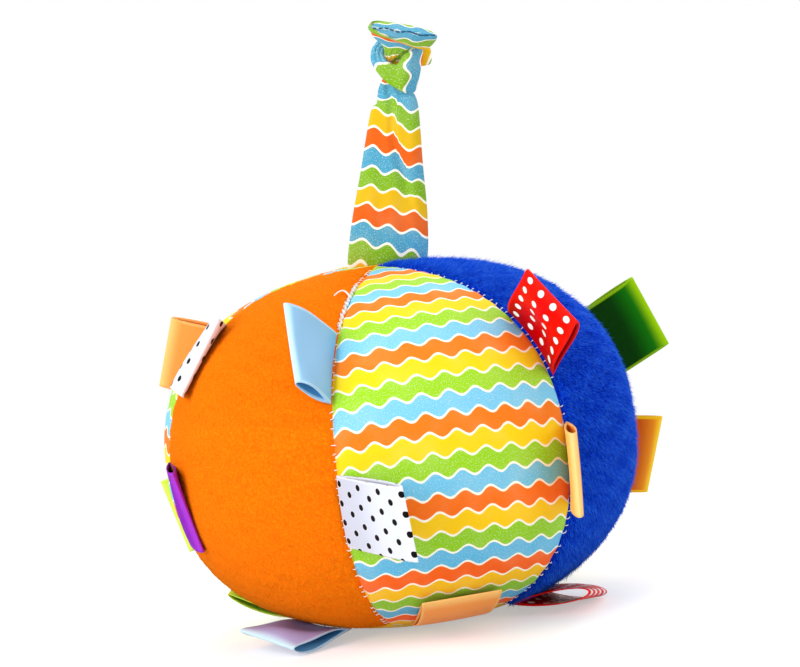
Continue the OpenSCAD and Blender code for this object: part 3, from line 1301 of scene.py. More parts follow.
@dataclass(frozen=True)
class SeamStitch:
    """Short machine stitches across a panel seam, each a low arc.

    Args:
        pitch, scatter: their spacing, and how far it varies.
        shown: share of them that shows.
        low_gap, high_gap: how far the run keeps off the patch and off the top.
        reach, uneven: half of their length, and how far it varies as a share.
        slant, slant_scatter: their slant, and how far it varies.
        root, rise: depth of their ends, and how far their middle rises over them.
        radius: half of their thickness.
        taper: shares of the radius from end to end.
        sides: corners of a ring.
    """

    pitch: float = 2.4 * MM
    scatter: float = 0.2 * MM
    shown: float = 0.85
    low_gap: float = 1.5 * MM
    high_gap: float = 3.0 * MM
    reach: float = 0.72 * MM
    uneven: float = 0.22
    slant: float = 0.3
    slant_scatter: float = 0.2
    root: float = 0.45 * MM
    rise: float = 0.5 * MM
    radius: float = 0.15 * MM
    taper: tuple[float, ...] = (0.55, 0.9, 1.0, 0.9, 0.55)
    sides: int = 6


@dataclass(frozen=True)
class ClosingThread:
    """Thick hand-sewn thread that closes the top of the front panel's left seam.

    Args:
        low, high: latitudes between which it is sewn.
        swing, depth, dip: how far it swings, how deep it lies, and how far it dips.
        radius, uneven: half of its thickness, and how far that varies.
        end_lat, end_reach, end_radius: latitude, reach and half thickness of its loose end.
        end_root, end_lift: how far that end stands off the cloth, and rises in its middle.
        points, sides: places along each stretch, and corners of a ring.
    """

    low: float = 41.0
    high: float = 66.0
    swing: float = 0.34 * MM
    depth: float = 0.15 * MM
    dip: float = 0.4 * MM
    radius: float = 0.36 * MM
    uneven: float = 0.1 * MM
    end_lat: float = 56.5
    end_reach: float = 4.4 * MM
    end_root: float = 0.2 * MM
    end_lift: float = 1.5 * MM
    end_radius: float = 0.28 * MM
    points: int = 241
    sides: int = 10

    def build(self, shape: BallShape, seam: float) -> Piece:
        """Sews the thread: short swings up the seam, and a loose end that curls away.

        The swings and the dips are sines of the way up. The end runs over the panel on
        the left and rises off it by half a sine.

        Args:
            shape: the ball's skin.
            seam: turn of the seam.

        Returns:
            The piece, without its finish.
        """
        share = np.linspace(0.0, 1.0, self.points)
        lat = self.low + (self.high - self.low) * share
        swing = self.swing * np.sin(share * 75.0) / shape.girth(lat)
        depth = self.depth + self.dip * np.sin(share * 150.0 + 0.8)
        sewn = shape.skin(seam + np.degrees(swing), lat, depth, np.ones_like(lat))
        thick = self.radius + self.uneven * np.sin(share * 31.0)
        off = np.degrees(self.end_reach * share / shape.radius / math.cos(math.radians(57.0)))
        curl_lat = self.end_lat + 1.6 * np.sin(share * 1.9 * 1.7) - 0.6 * share
        lift = -self.end_root - self.end_lift * np.sin(np.pi * share * 0.8)
        curl = shape.skin(seam - off, curl_lat, lift, 1.0 - 0.1 * share)
        radii = np.stack([thick, self.end_radius * (1.0 - 0.35 * share)])
        return tubes(np.stack([sewn, curl]), radii, self.sides).piece("closing_thread", weld=0.0)


# Corners of a fibre's sides between two rings and of its faces at the tip, each with the
# way round the fibre at those corners.
FIBRE_SIDES = (
    np.array([[0, 1, 4, 3], [1, 2, 5, 4], [2, 0, 3, 5]]),
    np.array([[0, 1, 1, 0], [1, 2, 2, 1], [2, 3, 3, 2]]) / 3.0,
)
FIBRE_TIP = (
    np.array([[0, 1, 3], [1, 2, 3], [2, 0, 3]]),
    np.array([[0, 1, 0.5], [1, 2, 1.5], [2, 3, 2.5]]) / 3.0,
)
# Waves of a panel's unevenness: radians in a metre up it, and over half of its width.
LUMP_WAVES = ((95.0, 2.6), (47.0, 4.1))
# Places drawn for each fibre, of which those beside the narrow ends are dropped.
TRIES = 4


@dataclass
class Cover:
    """The sewn cover: six panels, the base patch, their seams and the pile.

    Args:
        shape: the ball's skin.
        panels: the six panels.
        patch_finish: finish of the base patch.
        thread: finish of the machine stitches.
        cloth: thickness of the cloth.
        rows, cols: faces of a panel along and across.
        groove, groove_width: depth and half width of the crease along a seam.
        pucker, pucker_pitch, pucker_reach: height, spacing and reach of its puckers.
        pucker_fade: distance from a seam where they are whole.
        tip_fade: half width of the panel where all relief is whole.
        lump, lump_fade: height of the slow unevenness, and where it is whole.
        print_droop: how far the print hangs at a turn of one degree, squared.
        print_middle: turn of the print's own middle from the panel's.
        patch_rows, patch_cols: places along and round the base patch.
        patch_groove: share of the crease's depth along the patch.
        stitch, closing: sizes of the machine stitches and of the closing thread.
    """

    shape: BallShape
    panels: Sequence[Panel]
    patch_finish: Finish
    thread: Thread
    cloth: float = 1.6 * MM
    rows: int = 150
    cols: int = 72
    groove: float = 0.9 * MM
    groove_width: float = 1.0 * MM
    pucker: float = 0.2 * MM
    pucker_pitch: float = 6.2 * MM
    pucker_reach: float = 4.0 * MM
    pucker_fade: float = 1.0 * MM
    tip_fade: float = 8.0 * MM
    lump: float = 0.16 * MM
    lump_fade: float = 6.0 * MM
    print_droop: float = 0.003 * MM
    print_middle: float = -5.0
    patch_rows: int = 40
    patch_cols: int = 181
    patch_groove: float = 0.8
    stitch: SeamStitch = SeamStitch()
    closing: ClosingThread = ClosingThread()

    def middle(self, panel: Panel) -> float:
        """Turn of a panel's middle."""
        return self.shape.front_turn + panel.place * self.shape.panel_turn

    def relief(self, across: Array, lat: Array, seed: int) -> Array:
        """Depth of the crease and the puckers along a panel's seams.

        The crease is a bell curve of the distance to the seam. The puckers are a sine
        along the seam that fades with that distance. Slow sines add the unevenness of a
        stuffed cloth.

        Args:
            across: place across the panel.
            lat: latitude.
            seed: start of the random phases.

        Returns:
            Depth under the skin at each place.
        """
        chance = np.random.default_rng(seed)
        phase = chance.uniform(0.0, 2.0 * np.pi, 6)
        half = self.shape.half_gore(lat)
        off = (1.0 - np.abs(across)) * half
        climb = self.shape.climb(lat)
        fade = ease(0.0, self.tip_fade, half)
        crease = self.groove * np.exp(-((off / self.groove_width) ** 2))
        side = np.where(across < 0.0, phase[0], phase[1])
        wave = np.sin(climb * 2.0 * np.pi / self.pucker_pitch + side + 2.0 * np.sin(climb * 90.0))
        puckers = self.pucker * wave * np.exp(-off / self.pucker_reach)
        puckers = puckers * ease(0.0, self.pucker_fade, off)
        lumps = (
            np.sin(climb * up + phase[2 * row]) * np.sin(across * over + phase[2 * row + 1])
            for row, (up, over) in enumerate(LUMP_WAVES, start=1)
        )
        broad = self.lump * sum(lumps) * ease(0.0, self.lump_fade, off)
        return (crease + puckers + broad) * fade

    def panel_grid(self, panel: Panel) -> tuple[Array, Array, Array]:
        """Grid of a panel: its turn, its latitude and its place across.

        The columns crowd towards the seams as the sine of even steps.

        Args:
            panel: the panel.

        Returns:
            The three grids, rows up the panel.
        """
        quarter = np.pi / 2.0
        lat, steps = lattice(
            (self.shape.patch_lat, 90.0, self.rows + 1), (-quarter, quarter, self.cols + 1)
        )
        across = np.sin(steps)
        turn = self.middle(panel) + across * self.shape.panel_turn / 2.0
        return turn, lat, across

    def print_place(self, across: Array, lat: Array) -> Array:
        """Places on the flat print: the way round from the middle, and the way up.

        The bands hang lower towards the sides by the square of the turn from the print's
        own middle.

        Args:
            across: place across the panel.
            lat: the latitude.

        Returns:
            Places with a last axis of two.
        """
        turn = across * self.shape.panel_turn / 2.0
        along = self.shape.climb(lat) + self.print_droop * (turn - self.print_middle) ** 2
        return np.stack([across * self.shape.half_gore(lat), along], axis=-1)

    def build_panel(self, panel: Panel) -> None:
        """Sews one panel: a closed shell of cloth between the two seams.

        Args:
            panel: the panel.
        """
        turn, lat, across = self.panel_grid(panel)
        depth = self.relief(across, lat, panel.seed)
        outer = self.shape.skin(turn, lat, depth, across)
        inner = self.shape.skin(turn, lat, depth + self.cloth, across)
        places = self.print_place(across, lat)
        surface = shell(outer, inner, places)
        piece = surface.piece(panel.node + "_cloth", outward=True)
        panel.finish.put_on(piece)
        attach(piece, "cover")
        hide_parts(panel.node)
        panel.slot
        half = self.shape.half_panel
        length = self.shape.top_climb - self.shape.patch_climb
        area = Surface.from_grid(outer, places).area()
        log.info("%s: %.1f by %.1f mm, %.0f cm2", piece.name, 2e3 * half, 1e3 * length, area * 1e4)

    def build_pile(self, panel: Panel) -> None:
        """Grows a plush panel's fibres.

        Roots are scattered evenly over the panel. A fibre is a thin three-sided spike
        that leans down the panel: its root ring, a ring halfway where it is bent, and a
        tip. Each fibre has its own small place on the bake's map.

        Args:
            panel: a plush panel.
        """
        pile = panel.pile
        chance = np.random.default_rng(panel.seed + 100)
        low = self.shape.patch_climb + pile.low_gap
        high = self.shape.top_climb - pile.high_gap
        for number in range(pile.pieces):
            bottom = low + (high - low) * number / pile.pieces
            top = low + (high - low) * (number + 1) / pile.pieces
            climb = chance.uniform(bottom, top, pile.count * TRIES)
            lat = self.shape.lat_at(climb)
            keep = chance.uniform(0.0, self.shape.half_panel, len(lat)) < self.shape.half_gore(lat)
            lat = lat[keep][: pile.count]
            surface = self._fibres(panel, lat, chance)
            name = f"{panel.node}_pile_{number + 1}"
            piece = surface.piece(name, weld=0.0)
            pile.finish.put_on(piece)
            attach(piece, "cover")
            panel.slot
            log.info("%s: %d fibres", name, len(lat))

    def _fibres(self, panel: Panel, lat: Array, chance: np.random.Generator) -> Surface:
        """The fibres rooted at given latitudes of a panel, at random places across it.

        Args:
            panel: a plush panel.
            lat: latitude of each root.
            chance: random numbers.

        Returns:
            One surface with every fibre.
        """
        pile = panel.pile
        count = len(lat)
        half = self.shape.half_gore(lat)
        edge = 1.0 - pile.seam_gap / np.maximum(half, pile.narrow)
        across = chance.uniform(-1.0, 1.0, count) * edge
        turn = self.middle(panel) + across * self.shape.panel_turn / 2.0
        depth = self.relief(across, lat, panel.seed) + pile.root
        root = self.shape.skin(turn, lat, depth, across)
        step = 0.2
        up = unit(self.shape.skin(turn, lat + step, depth, across) - root)
        side = unit(self.shape.skin(turn + step, lat, depth, across) - root)
        out = unit(np.cross(side, up))
        clump = np.sin(lat * 0.9 + 3.0 * across) * np.sin(across * 9.0 + lat * 0.25)
        lay = pile.lay + pile.clump_lay * clump + chance.normal(0.0, pile.scatter * 0.5, count)
        lay = lay.clip(-0.3, 1.0)
        swing = chance.normal(0.0, pile.scatter, count) + pile.clump_swing * clump
        lean = lay[:, None] * (-up) + swing[:, None] * side
        direction = unit(out * np.sqrt(1.0 - lay**2).clip(0.2)[:, None] + lean)
        length = pile.length * (1.0 + chance.normal(0.0, pile.uneven, count))
        length = length.clip(pile.length * 0.4)
        length = length * np.where(chance.uniform(0.0, 1.0, count) < 0.03, 1.5, 1.0)
        whole = ease(0.0, pile.seam_fade, (1.0 - np.abs(across)) * half)
        length = length * (pile.seam_length + (1.0 - pile.seam_length) * whole)
        tip = root + direction * length[:, None]
        one = unit(np.cross(direction, out + 0.3 * side))
        two = np.cross(direction, one)
        angle = np.arange(3) * 2.0 * np.pi / 3.0
        spokes = one[:, None] * np.cos(angle)[:, None] + two[:, None] * np.sin(angle)[:, None]
        shade = chance.uniform(0.0, 1.0, count) * 0.75 + 0.25 * (clump * 0.5 + 0.5)
        cell, per_row = np.arange(count), int(math.ceil(math.sqrt(count)))
        corner = np.stack([cell % per_row, cell // per_row], axis=-1).astype(float)
        rings = [root[:, None] + spokes * pile.thickness / 2.0]
        marks, kinds = [0.0] * 3, []
        if pile.bent:
            droop = (-up * pile.droop + chance.normal(0.0, 0.12, (count, 3))) * length[:, None]
            middle = root + direction * (pile.joint * length)[:, None]
            rings.append(middle[:, None] + spokes * pile.thickness * pile.waist)
            tip = tip + droop * 0.6
            marks += [pile.joint] * 3
            kinds.append(FIBRE_SIDES)
        kinds.append((FIBRE_TIP[0] + 3 * (len(rings) - 1), FIBRE_TIP[1]))
        points = np.concatenate([*rings, tip[:, None]], axis=1)
        along = np.array([*marks, 1.0])
        each = points.shape[1]
        start = np.arange(count)[:, None, None] * each
        faces, places = [], []
        for kind, sides in kinds:
            faces.append((kind[None] + start).reshape(-1, kind.shape[1]))
            local = np.stack([sides, along[kind]], axis=-1) * 0.8 + 0.1
            places.append(((corner[:, None, None] + local[None]) / per_row).reshape(-1, 2))
        return Surface(
            points.reshape(-1, 3),
            faces,
            {BAKE_MAP: np.concatenate(places)},
            {"along": np.tile(along, count), "shade": np.repeat(shade, each)},
        )

    def build_patch(self) -> None:
        """Sews the round patch that closes the base: a closed shell from pole to pole."""
        rise = (-90.0, self.shape.patch_lat, self.patch_rows)
        lat, turn = lattice(rise, (0.0, 360.0, self.patch_cols))
        rim = self.shape.patch_climb - self.shape.climb(lat)
        groove = self.groove * self.patch_groove * np.exp(-((rim / self.groove_width) ** 2))
        outer = self.shape.skin(turn, lat, groove, np.zeros_like(lat))
        inner = self.shape.skin(turn, lat, groove + self.cloth, np.zeros_like(lat))
        outer[0, :, :2] = 0.0
        inner[0, :, :2] = 0.0
        both = np.concatenate([outer, inner[::-1]])
        piece = Surface.from_grid(both, both[..., :2]).piece("base_patch_cloth", outward=True)
        self.patch_finish.put_on(piece)
        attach(piece, "cover")
        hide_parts("base_patch")
        reach = self.shape.patch_climb - float(self.shape.climb(-90.0))
        log.info("base patch: %.1f mm across when flat", 2e3 * reach)

    def build_seams(self) -> None:
        """Stitches across each panel seam, one piece for each, and the closing thread."""
        made = []
        chance = np.random.default_rng(7)
        stitch = self.stitch
        low = self.shape.patch_climb + stitch.low_gap
        high = self.shape.top_climb - stitch.high_gap
        for seam in range(self.shape.panels):
            climb = np.arange(low, high, stitch.pitch)
            climb = climb + chance.normal(0.0, stitch.scatter, len(climb))
            shown = chance.uniform(0.0, 1.0, len(climb)) < stitch.shown
            lat = self.shape.lat_at(climb[shown])
            made.append(self._stitches(f"seam_stitches_{seam + 1}", self._seam(seam), lat, chance))
        made.append(self.closing.build(self.shape, self._seam(0)))
        for piece in made:
            self.thread.put_on(piece)
            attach(piece, "cover")

    def _seam(self, number: int) -> float:
        """Turn of a panel seam, counted from the one to the left of the front panel."""
        return self.shape.front_turn + (number - 0.5) * self.shape.panel_turn

    def _stitches(
        self, name: str, turn: float, lat: Array, chance: np.random.Generator
    ) -> Piece:
        """A run of stitches that cross a seam: each rises by one less the share squared.

        Args:
            name: the piece's name.
            turn: the seam's turn.
            lat: latitude of each stitch.
            chance: random numbers.

        Returns:
            The piece, without its finish.
        """
        stitch = self.stitch
        share = np.linspace(-1.0, 1.0, len(stitch.taper))
        reach = stitch.reach * (1.0 + chance.normal(0.0, stitch.uneven, len(lat)))
        slant = chance.normal(stitch.slant, stitch.slant_scatter, len(lat))
        turns = turn + np.degrees(reach[:, None] * share / self.shape.girth(lat)[:, None])
        lats = lat[:, None] + np.degrees(reach * slant / self.shape.profile(lat))[:, None] * share
        arc = self.shape.skin(turns, lats, stitch.root - stitch.rise * (1.0 - share**2), 1.0)
        thick = np.broadcast_to(stitch.radius * np.array(stitch.taper), lats.shape)
        return tubes(arc, thick, stitch.sides).piece(name, weld=0.0)

    def build(self) -> None:
        """Builds the whole cover."""
        for panel in self.panels:
            self.build_panel(panel)
            if panel.pile is not None:
                self.build_pile(panel)
        self.build_patch()
        self.build_seams()
        log.info("cover sewn")


# Lumps of the filling: waves round it, their slant, and waves up it, in radians.
FILLING_WAVES = ((9.0, 0.21, 11.0), (17.0, -0.3, 23.0))


@dataclass
class Filling:
    """Fibre filling with a pocket for the rattle.

    Args:
        shape: the ball's skin.
        finish: its fibres.
        depth: how far it lies under the outside.
        pocket_radius, pocket_height: size of its pocket.
        corner: power of the pocket's side profile, where 2 is an ellipse.
        lump: mean height of its lumps.
        rows, cols: faces up and round it.
        map_radius: radius of the cloth map.
    """

    shape: BallShape
    finish: Finish
    depth: float = 1.95 * MM
    pocket_radius: float = 17.35 * MM
    pocket_height: float = 30.6 * MM
    corner: float = 12.0
    lump: float = 0.35 * MM
    rows: int = 90
    cols: int = 144
    map_radius: float = 0.05

    def build(self) -> None:
        """Stuffs the ball: a lumpy closed skin, and the pocket's skin facing inwards.

        The lumps are products of sines of the turn and the latitude. The pocket is a
        rounded drum whose profile is a power curve.
        """
        lat, turn = lattice((-90.0, 90.0, self.rows + 1), (0.0, 360.0, self.cols + 1))
        rise, way = np.radians(lat), np.radians(turn)
        lump = sum(
            np.sin(way * over + lat * lean) * np.sin(rise * up) for over, lean, up in FILLING_WAVES
        )
        depth = self.depth + self.lump * (1.0 - lump / 2.0) * np.cos(rise)
        outer = self.shape.skin(turn, lat, depth)
        outer[0, :, :2], outer[-1, :, :2] = 0.0, 0.0
        cosine, sine = turned(rise)
        power = self.corner
        across = np.abs(cosine) / self.pocket_radius
        upright = np.abs(sine) / (self.pocket_height / 2.0)
        reach = (across**power + upright**power) ** (-1.0 / power)
        flat = reach * cosine
        east, north = turned(-way)
        hollow = np.stack(
            [flat * east, flat * north, reach * sine + self.shape.centre_z], axis=-1
        )
        hollow[0, :, :2], hollow[-1, :, :2] = 0.0, 0.0
        places = np.stack([way * self.map_radius, rise * self.map_radius], axis=-1)
        surface = Surface.joined(
            [Surface.from_grid(outer, places), Surface.from_grid(hollow, places)]
        )
        piece = surface.piece("fibre_filling_wadding")
        self.finish.put_on(piece)
        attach(piece, "cover")
        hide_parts("fibre_filling")
        log.info("filling stuffed")


# Tags.

PANEL_RING = (
    "panel_striped_front",
    "panel_blue_plush",
    "panel_striped_right",
    "panel_yellow_plush",
    "panel_striped_left",
    "panel_orange_plush",
)


@dataclass(frozen=True)
class SeamTag:
    """Where a folded tag grows from a panel seam.

    Args:
        seam: number of its seam, 0 to the left of the front panel.
        lat: latitude of its middle.
        lean: degrees by which it falls over to its right.
        skew: degrees by which its fold turns along the seam.
        length: share of the usual length.
        width: share of the ribbon's width.
        gap: share of the usual gap in its loop.
    """

    seam: int
    lat: float
    lean: float
    skew: float
    length: float
    width: float = 1.0
    gap: float = 1.0

    @property
    def beside(self) -> list[str]:
        """Nodes of the two panels between which it is sewn."""
        return [PANEL_RING[(self.seam - 1) % 6], PANEL_RING[self.seam % 6]]


@dataclass(frozen=True)
class BaseTag:
    """Where a folded tag grows from the base patch's seam.

    Args:
        turn: turn from the front panel's middle.
        rise: slope in degrees at its seam.
        skew: degrees by which its fold turns.
        length: share of the usual length.
        curl: share of its length by which its fold is lifted further.
        gap: share of the usual gap in its loop.
        width: share of the ribbon's width.
    """

    turn: float
    rise: float
    skew: float
    length: float
    curl: float
    gap: float = 1.0
    width: float = 1.0

    @property
    def beside(self) -> list[str]:
        """Nodes of the panel and of the patch between which it is sewn."""
        return [PANEL_RING[round(self.turn / 60.0) % 6], "base_patch"]


@dataclass(frozen=True)
class Tag:
    """One ribbon tag and how its ribbon lies.

    Args:
        name: the second half of its node's name.
        place: where it grows.
        finish: its ribbon.
        sway: how far its middle bows sideways.
        dip: depth of the wave across its flat.
        twist: how far its fold is turned about its length.
    """

    name: str
    place: SeamTag | BaseTag
    finish: Ribbon
    sway: float = 0.0
    dip: float = 0.0
    twist: float = 0.0

    @property
    def slot(self) -> str:
        """Its material's name in the record."""
        return self.finish.slot or self.finish.name


@dataclass
class TagMaker:
    """Sews folded tags from ribbon.

    Args:
        shape: the ball's skin.
        width: width of the ribbon.
        thickness: room that the ribbon takes in the model.
        ribbon: thickness of the ribbon itself.
        length: length of a folded tag.
        gap: widest inside gap of its loop.
        sewn: stretch that is sewn flat.
        clearance: distance between the seam and the tag's root.
        fullness: power of the half angle's sine. The smaller it is, the fuller the loop.
        sway_lean: share by which the sway grows towards the ribbon's first side.
        dip_turn: radians of the dip's wave over half of the ribbon's width.
        rows, ring: faces across the ribbon and along the loop.
    """

    shape: BallShape
    width: float = 24.0 * MM
    thickness: float = 0.7 * MM
    ribbon: float = 0.42 * MM
    length: float = 20.0 * MM
    gap: float = 2.4 * MM
    sewn: float = 2.2 * MM
    clearance: float = 0.35 * MM
    fullness: float = 0.6
    sway_lean: float = 0.4
    dip_turn: float = 2.2
    rows: int = 24
    ring: int = 96

    def seam_lines(self, tag: SeamTag) -> tuple[Array, Array, Array, Array]:
        """Root line, fold line, side and way out of a tag in a panel seam.

        The way out is the skin's normal turned by the lean.

        Args:
            tag: the tag.

        Returns:
            The two lines as rows of places, and the two directions.
        """
        turn = self.shape.front_turn + self.shape.panel_turn * (tag.seam - 0.5)
        east = self.shape.level(turn)[0]
        gap = self.clearance
        ends = self.shape.lat_along(tag.lat, np.array([-gap, gap]))
        below, above = self.shape.skin(turn, ends, -gap, np.ones(2))
        along = unit(above - below)
        away = spun(np.cross(east, along), east, tag.lean)[0]
        share = np.linspace(-0.5, 0.5, self.rows + 1)
        lats = self.shape.lat_along(tag.lat, self.width * tag.width * share)
        roots = self.shape.skin(turn, lats, -gap, np.ones(len(share)))
        middle = self.shape.skin(turn, tag.lat, -gap, np.ones(()))
        return roots, self._fold_line(tag, middle, along, away), np.cross(along, away), away

    def base_lines(self, tag: BaseTag) -> tuple[Array, Array, Array, Array]:
        """Root line, fold line, side and way out of a tag in the base patch's seam.

        Args:
            tag: the tag.

        Returns:
            The two lines as rows of places, and the two directions.
        """
        turn = self.shape.front_turn + tag.turn
        east, out = self.shape.level(turn)
        away = spun(out, np.array([0.0, 0.0, 1.0]), tag.rise)[0]
        share = np.linspace(-0.5, 0.5, self.rows + 1)
        step = math.degrees(math.atan(self.width / (self.shape.patch_width / 2.0)))
        lat, gap = self.shape.patch_lat, self.clearance
        roots = self.shape.skin(turn + step * share, lat, -gap)
        middle = self.shape.skin(turn, lat, -gap)
        return roots, self._fold_line(tag, middle, east, away), np.cross(east, away), away

    def _fold_line(
        self, tag: SeamTag | BaseTag, middle: Array, along: Array, away: Array
    ) -> Array:
        """Places on the fold: the ribbon's width round the point a length out.

        Args:
            tag: the tag's place.
            middle: middle of its root line.
            along, away: directions of its root line and out of its seam.

        Returns:
            One place for each row of the ribbon.
        """
        row = spun(along, away, tag.skew)[0]
        share = np.linspace(-0.5, 0.5, self.rows + 1)
        width = self.width * tag.width
        return middle + away * self.length * tag.length + row * (width * share)[:, None]

    def build(self, tag: Tag) -> None:
        """Sews one tag.

        Along the loop an angle gives the share of the way out, half of one less its
        cosine, and the sideways share, its sine times a power of the half angle's sine.
        The outside and the inside of the ribbon are two such loops.

        Args:
            tag: the tag.
        """
        at_seam = isinstance(tag.place, SeamTag)
        roots, fold, side, away = (
            self.seam_lines(tag.place) if at_seam else self.base_lines(tag.place)
        )
        length = float(np.linalg.norm(fold[self.rows // 2] - roots[self.rows // 2]))
        gap = self.gap * tag.place.gap
        curl = 0.0 if at_seam else -length * tag.place.curl
        angle = np.linspace(0.0, 2.0 * np.pi, self.ring + 1)
        out = (1.0 - np.cos(angle)) / 2.0
        bulge = np.sin(angle) * np.abs(np.sin(angle / 2.0)) ** self.fullness
        across = np.linspace(-1.0, 1.0, self.rows + 1)[:, None]

        def layer(way: Array, half: float) -> Array:
            """One side of the ribbon: rows across it, the loop along it.

            Args:
                way: how far out of the seam each place of the loop is.
                half: half of the gap.

            Returns:
                Places with a last axis of three.
            """
            wave = tag.sway * np.sin(np.pi * way) * (1.0 - self.sway_lean * across)
            wave = wave + tag.dip * np.sin(2.0 * np.pi * way) * np.cos(across * self.dip_turn)
            wave = wave + tag.twist * across * way + curl * way**2
            offset = half * bulge + wave
            line = roots[:, None] + (fold - roots)[:, None] * way[None, :, None]
            return line + side * offset[..., None]

        half = gap / 2.0 + self.thickness
        start = self.sewn / length
        reach = 1.0 - start - self.ribbon / length
        outer = layer(out, half)
        inner = layer(start + reach * out, half - self.ribbon)
        width = self.width * tag.place.width
        along = np.where(angle < np.pi, out, 2.0 - out) * length
        places = np.stack(np.broadcast_arrays(across * width / 2.0, along), axis=-1)
        near = np.broadcast_to((1.0 - out) * length, places.shape[:2])
        grid = np.concatenate([outer, inner[::-1], outer[:1]])
        inside = np.zeros(grid.shape[:2])
        inside[len(outer) : -1] = 1.0
        surface = Surface.from_grid(
            grid,
            np.concatenate([places, places[::-1], places[:1]]),
            {"fold": np.concatenate([near, near[::-1], near[:1]]), "inside": inside},
        )
        piece = surface.piece(f"tag_{tag.name}_ribbon", outward=True)
        tag.finish.put_on(piece)
        root = roots[self.rows // 2]
        root + away * 5.0 * MM
        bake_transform(piece)
        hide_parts("tag_" + tag.name)
        tag.slot
        log.info("%s: %.1f by %.1f mm of ribbon", piece.name, 1e3 * width, 2e3 * length)


# Strap.


# Neck: height, narrowing and fullness, each as a share.
NECK_PLACES = np.array(
    [[0, 0, 0], [0.11, 0, 0.6], [0.33, 0.17, 0.9], [0.6, 0.52, 1], [0.82, 0.76, 1], [1, 1, 1]]
)
# Knot and closed end: place in spacings of the strands, shares of the width and of the
# thickness, turn of the width, and number of the printed band.
KNOT_PLACES = np.array(
    [
        [-0.04, 0.08, -1.84, 0.94, 1.5, 0, 7.4],
        [-0.2, 0.2, -1.2, 0.67, 1.17, 0, 8.1],
        [0, 0.24, -0.44, 0.47, 1.08, -0.06, 9.4],
        [0.42, 0.22, 0.2, 0.38, 1, -0.06, 10.4],
        [0.6, 0.2, 0.8, 0.37, 1, 0.03, 10.7],
        [0.28, 0.28, 1.36, 0.38, 1, 0.17, 11.1],
        [-0.4, 0.32, 1.52, 0.4, 1, 0.28, 12.4],
        [-1.04, 0.16, 1.16, 0.37, 1, 0.4, 12.2],
        [-1.12, -0.18, 0.6, 0.35, 1, 0.51, 11.9],
        [-0.7, -0.54, -0.02, 0.37, 1, 0.62, 11.3],
        [-0.12, -0.7, -0.4, 0.54, 1, 0.68, 11.0],
        [0.6, -0.74, -0.42, 1.02, 0.92, 0.69, 11.5],
        [1.28, 0.04, -0.24, 1.16, 0.92, 0.73, 12.6],
        [0.76, 0.92, -0.18, 0.83, 0.92, 0.75, 13.6],
        [0.04, 1.04, 0.2, 0.5, 1, 0.77, 14.6],
        [-0.44, 0.72, 0.52, 0.27, 1.08, 0.83, 16.0],
        [-0.38, 0.04, 0.6, 0.23, 1.08, 0.93, 17.4],
        [-0.34, -0.72, 0.82, 0.35, 1.08, 0.99, 18.4],
        [-0.18, -1.14, 1.26, 0.72, 1.1, 0.975, 19.4],
    ]
)
END_PLACES = np.array(
    [
        [-0.04, -1.34, 1.68, 0.84, 0.7, 0.958, 21.0],
        [0.18, -1.7, 1.96, 1, 1, 0.958, 22.9],
        [0.22, -2.08, 2.03, 0.97, 0.6, 0.958, 23.7],
        [0.22, -2.28, 2.05, 0.95, 0.14, 0.958, 24.3],
    ]
)
# Heights on the neck where one printed band meets the next, and their numbers.
NECK_BANDS = (
    np.array([-3.4, 4.8, 10.35, 16.0, 21.5, 26.65, 32.55, 38.3, 43.9, 49.1]) * MM,
    np.arange(-1.5, 8.0),
)
# The soft fold: its place across the neck, and the jump of the print there, by height.
FOLD_LINE = (
    np.array([9.5, 13.5, 18.7, 23.9, 29.2, 33.9, 39.0, 49.6]) * MM,
    np.array([12.0, 8.7, 6.6, 5.2, 3.1, 1.6, 0.5, -0.1]) * MM,
)
FOLD_STEP = (
    np.array([5.0, 10.0, 15.0, 20.0, 25.0, 30.0, 36.0, 50.0]) * MM,
    np.array([0.2, 0.3, 0.8, 1.3, 1.7, 2.7, 3.4, 3.3]) * MM,
)
# Stations between which the neck's shaping ends, the gathers start and the gathers end.
NECK_END, GATHER_START, GATHER_END = (6.0, 8.5), (7.4, 8.6), (23.0, 25.0)
# Ripples of the neck, in radians in a metre across and up it, and gathers of the knot, in
# radians over half of the width and for each station.
RIPPLES, GATHERS = (950.0, 60.0), (11.0, 1.7)


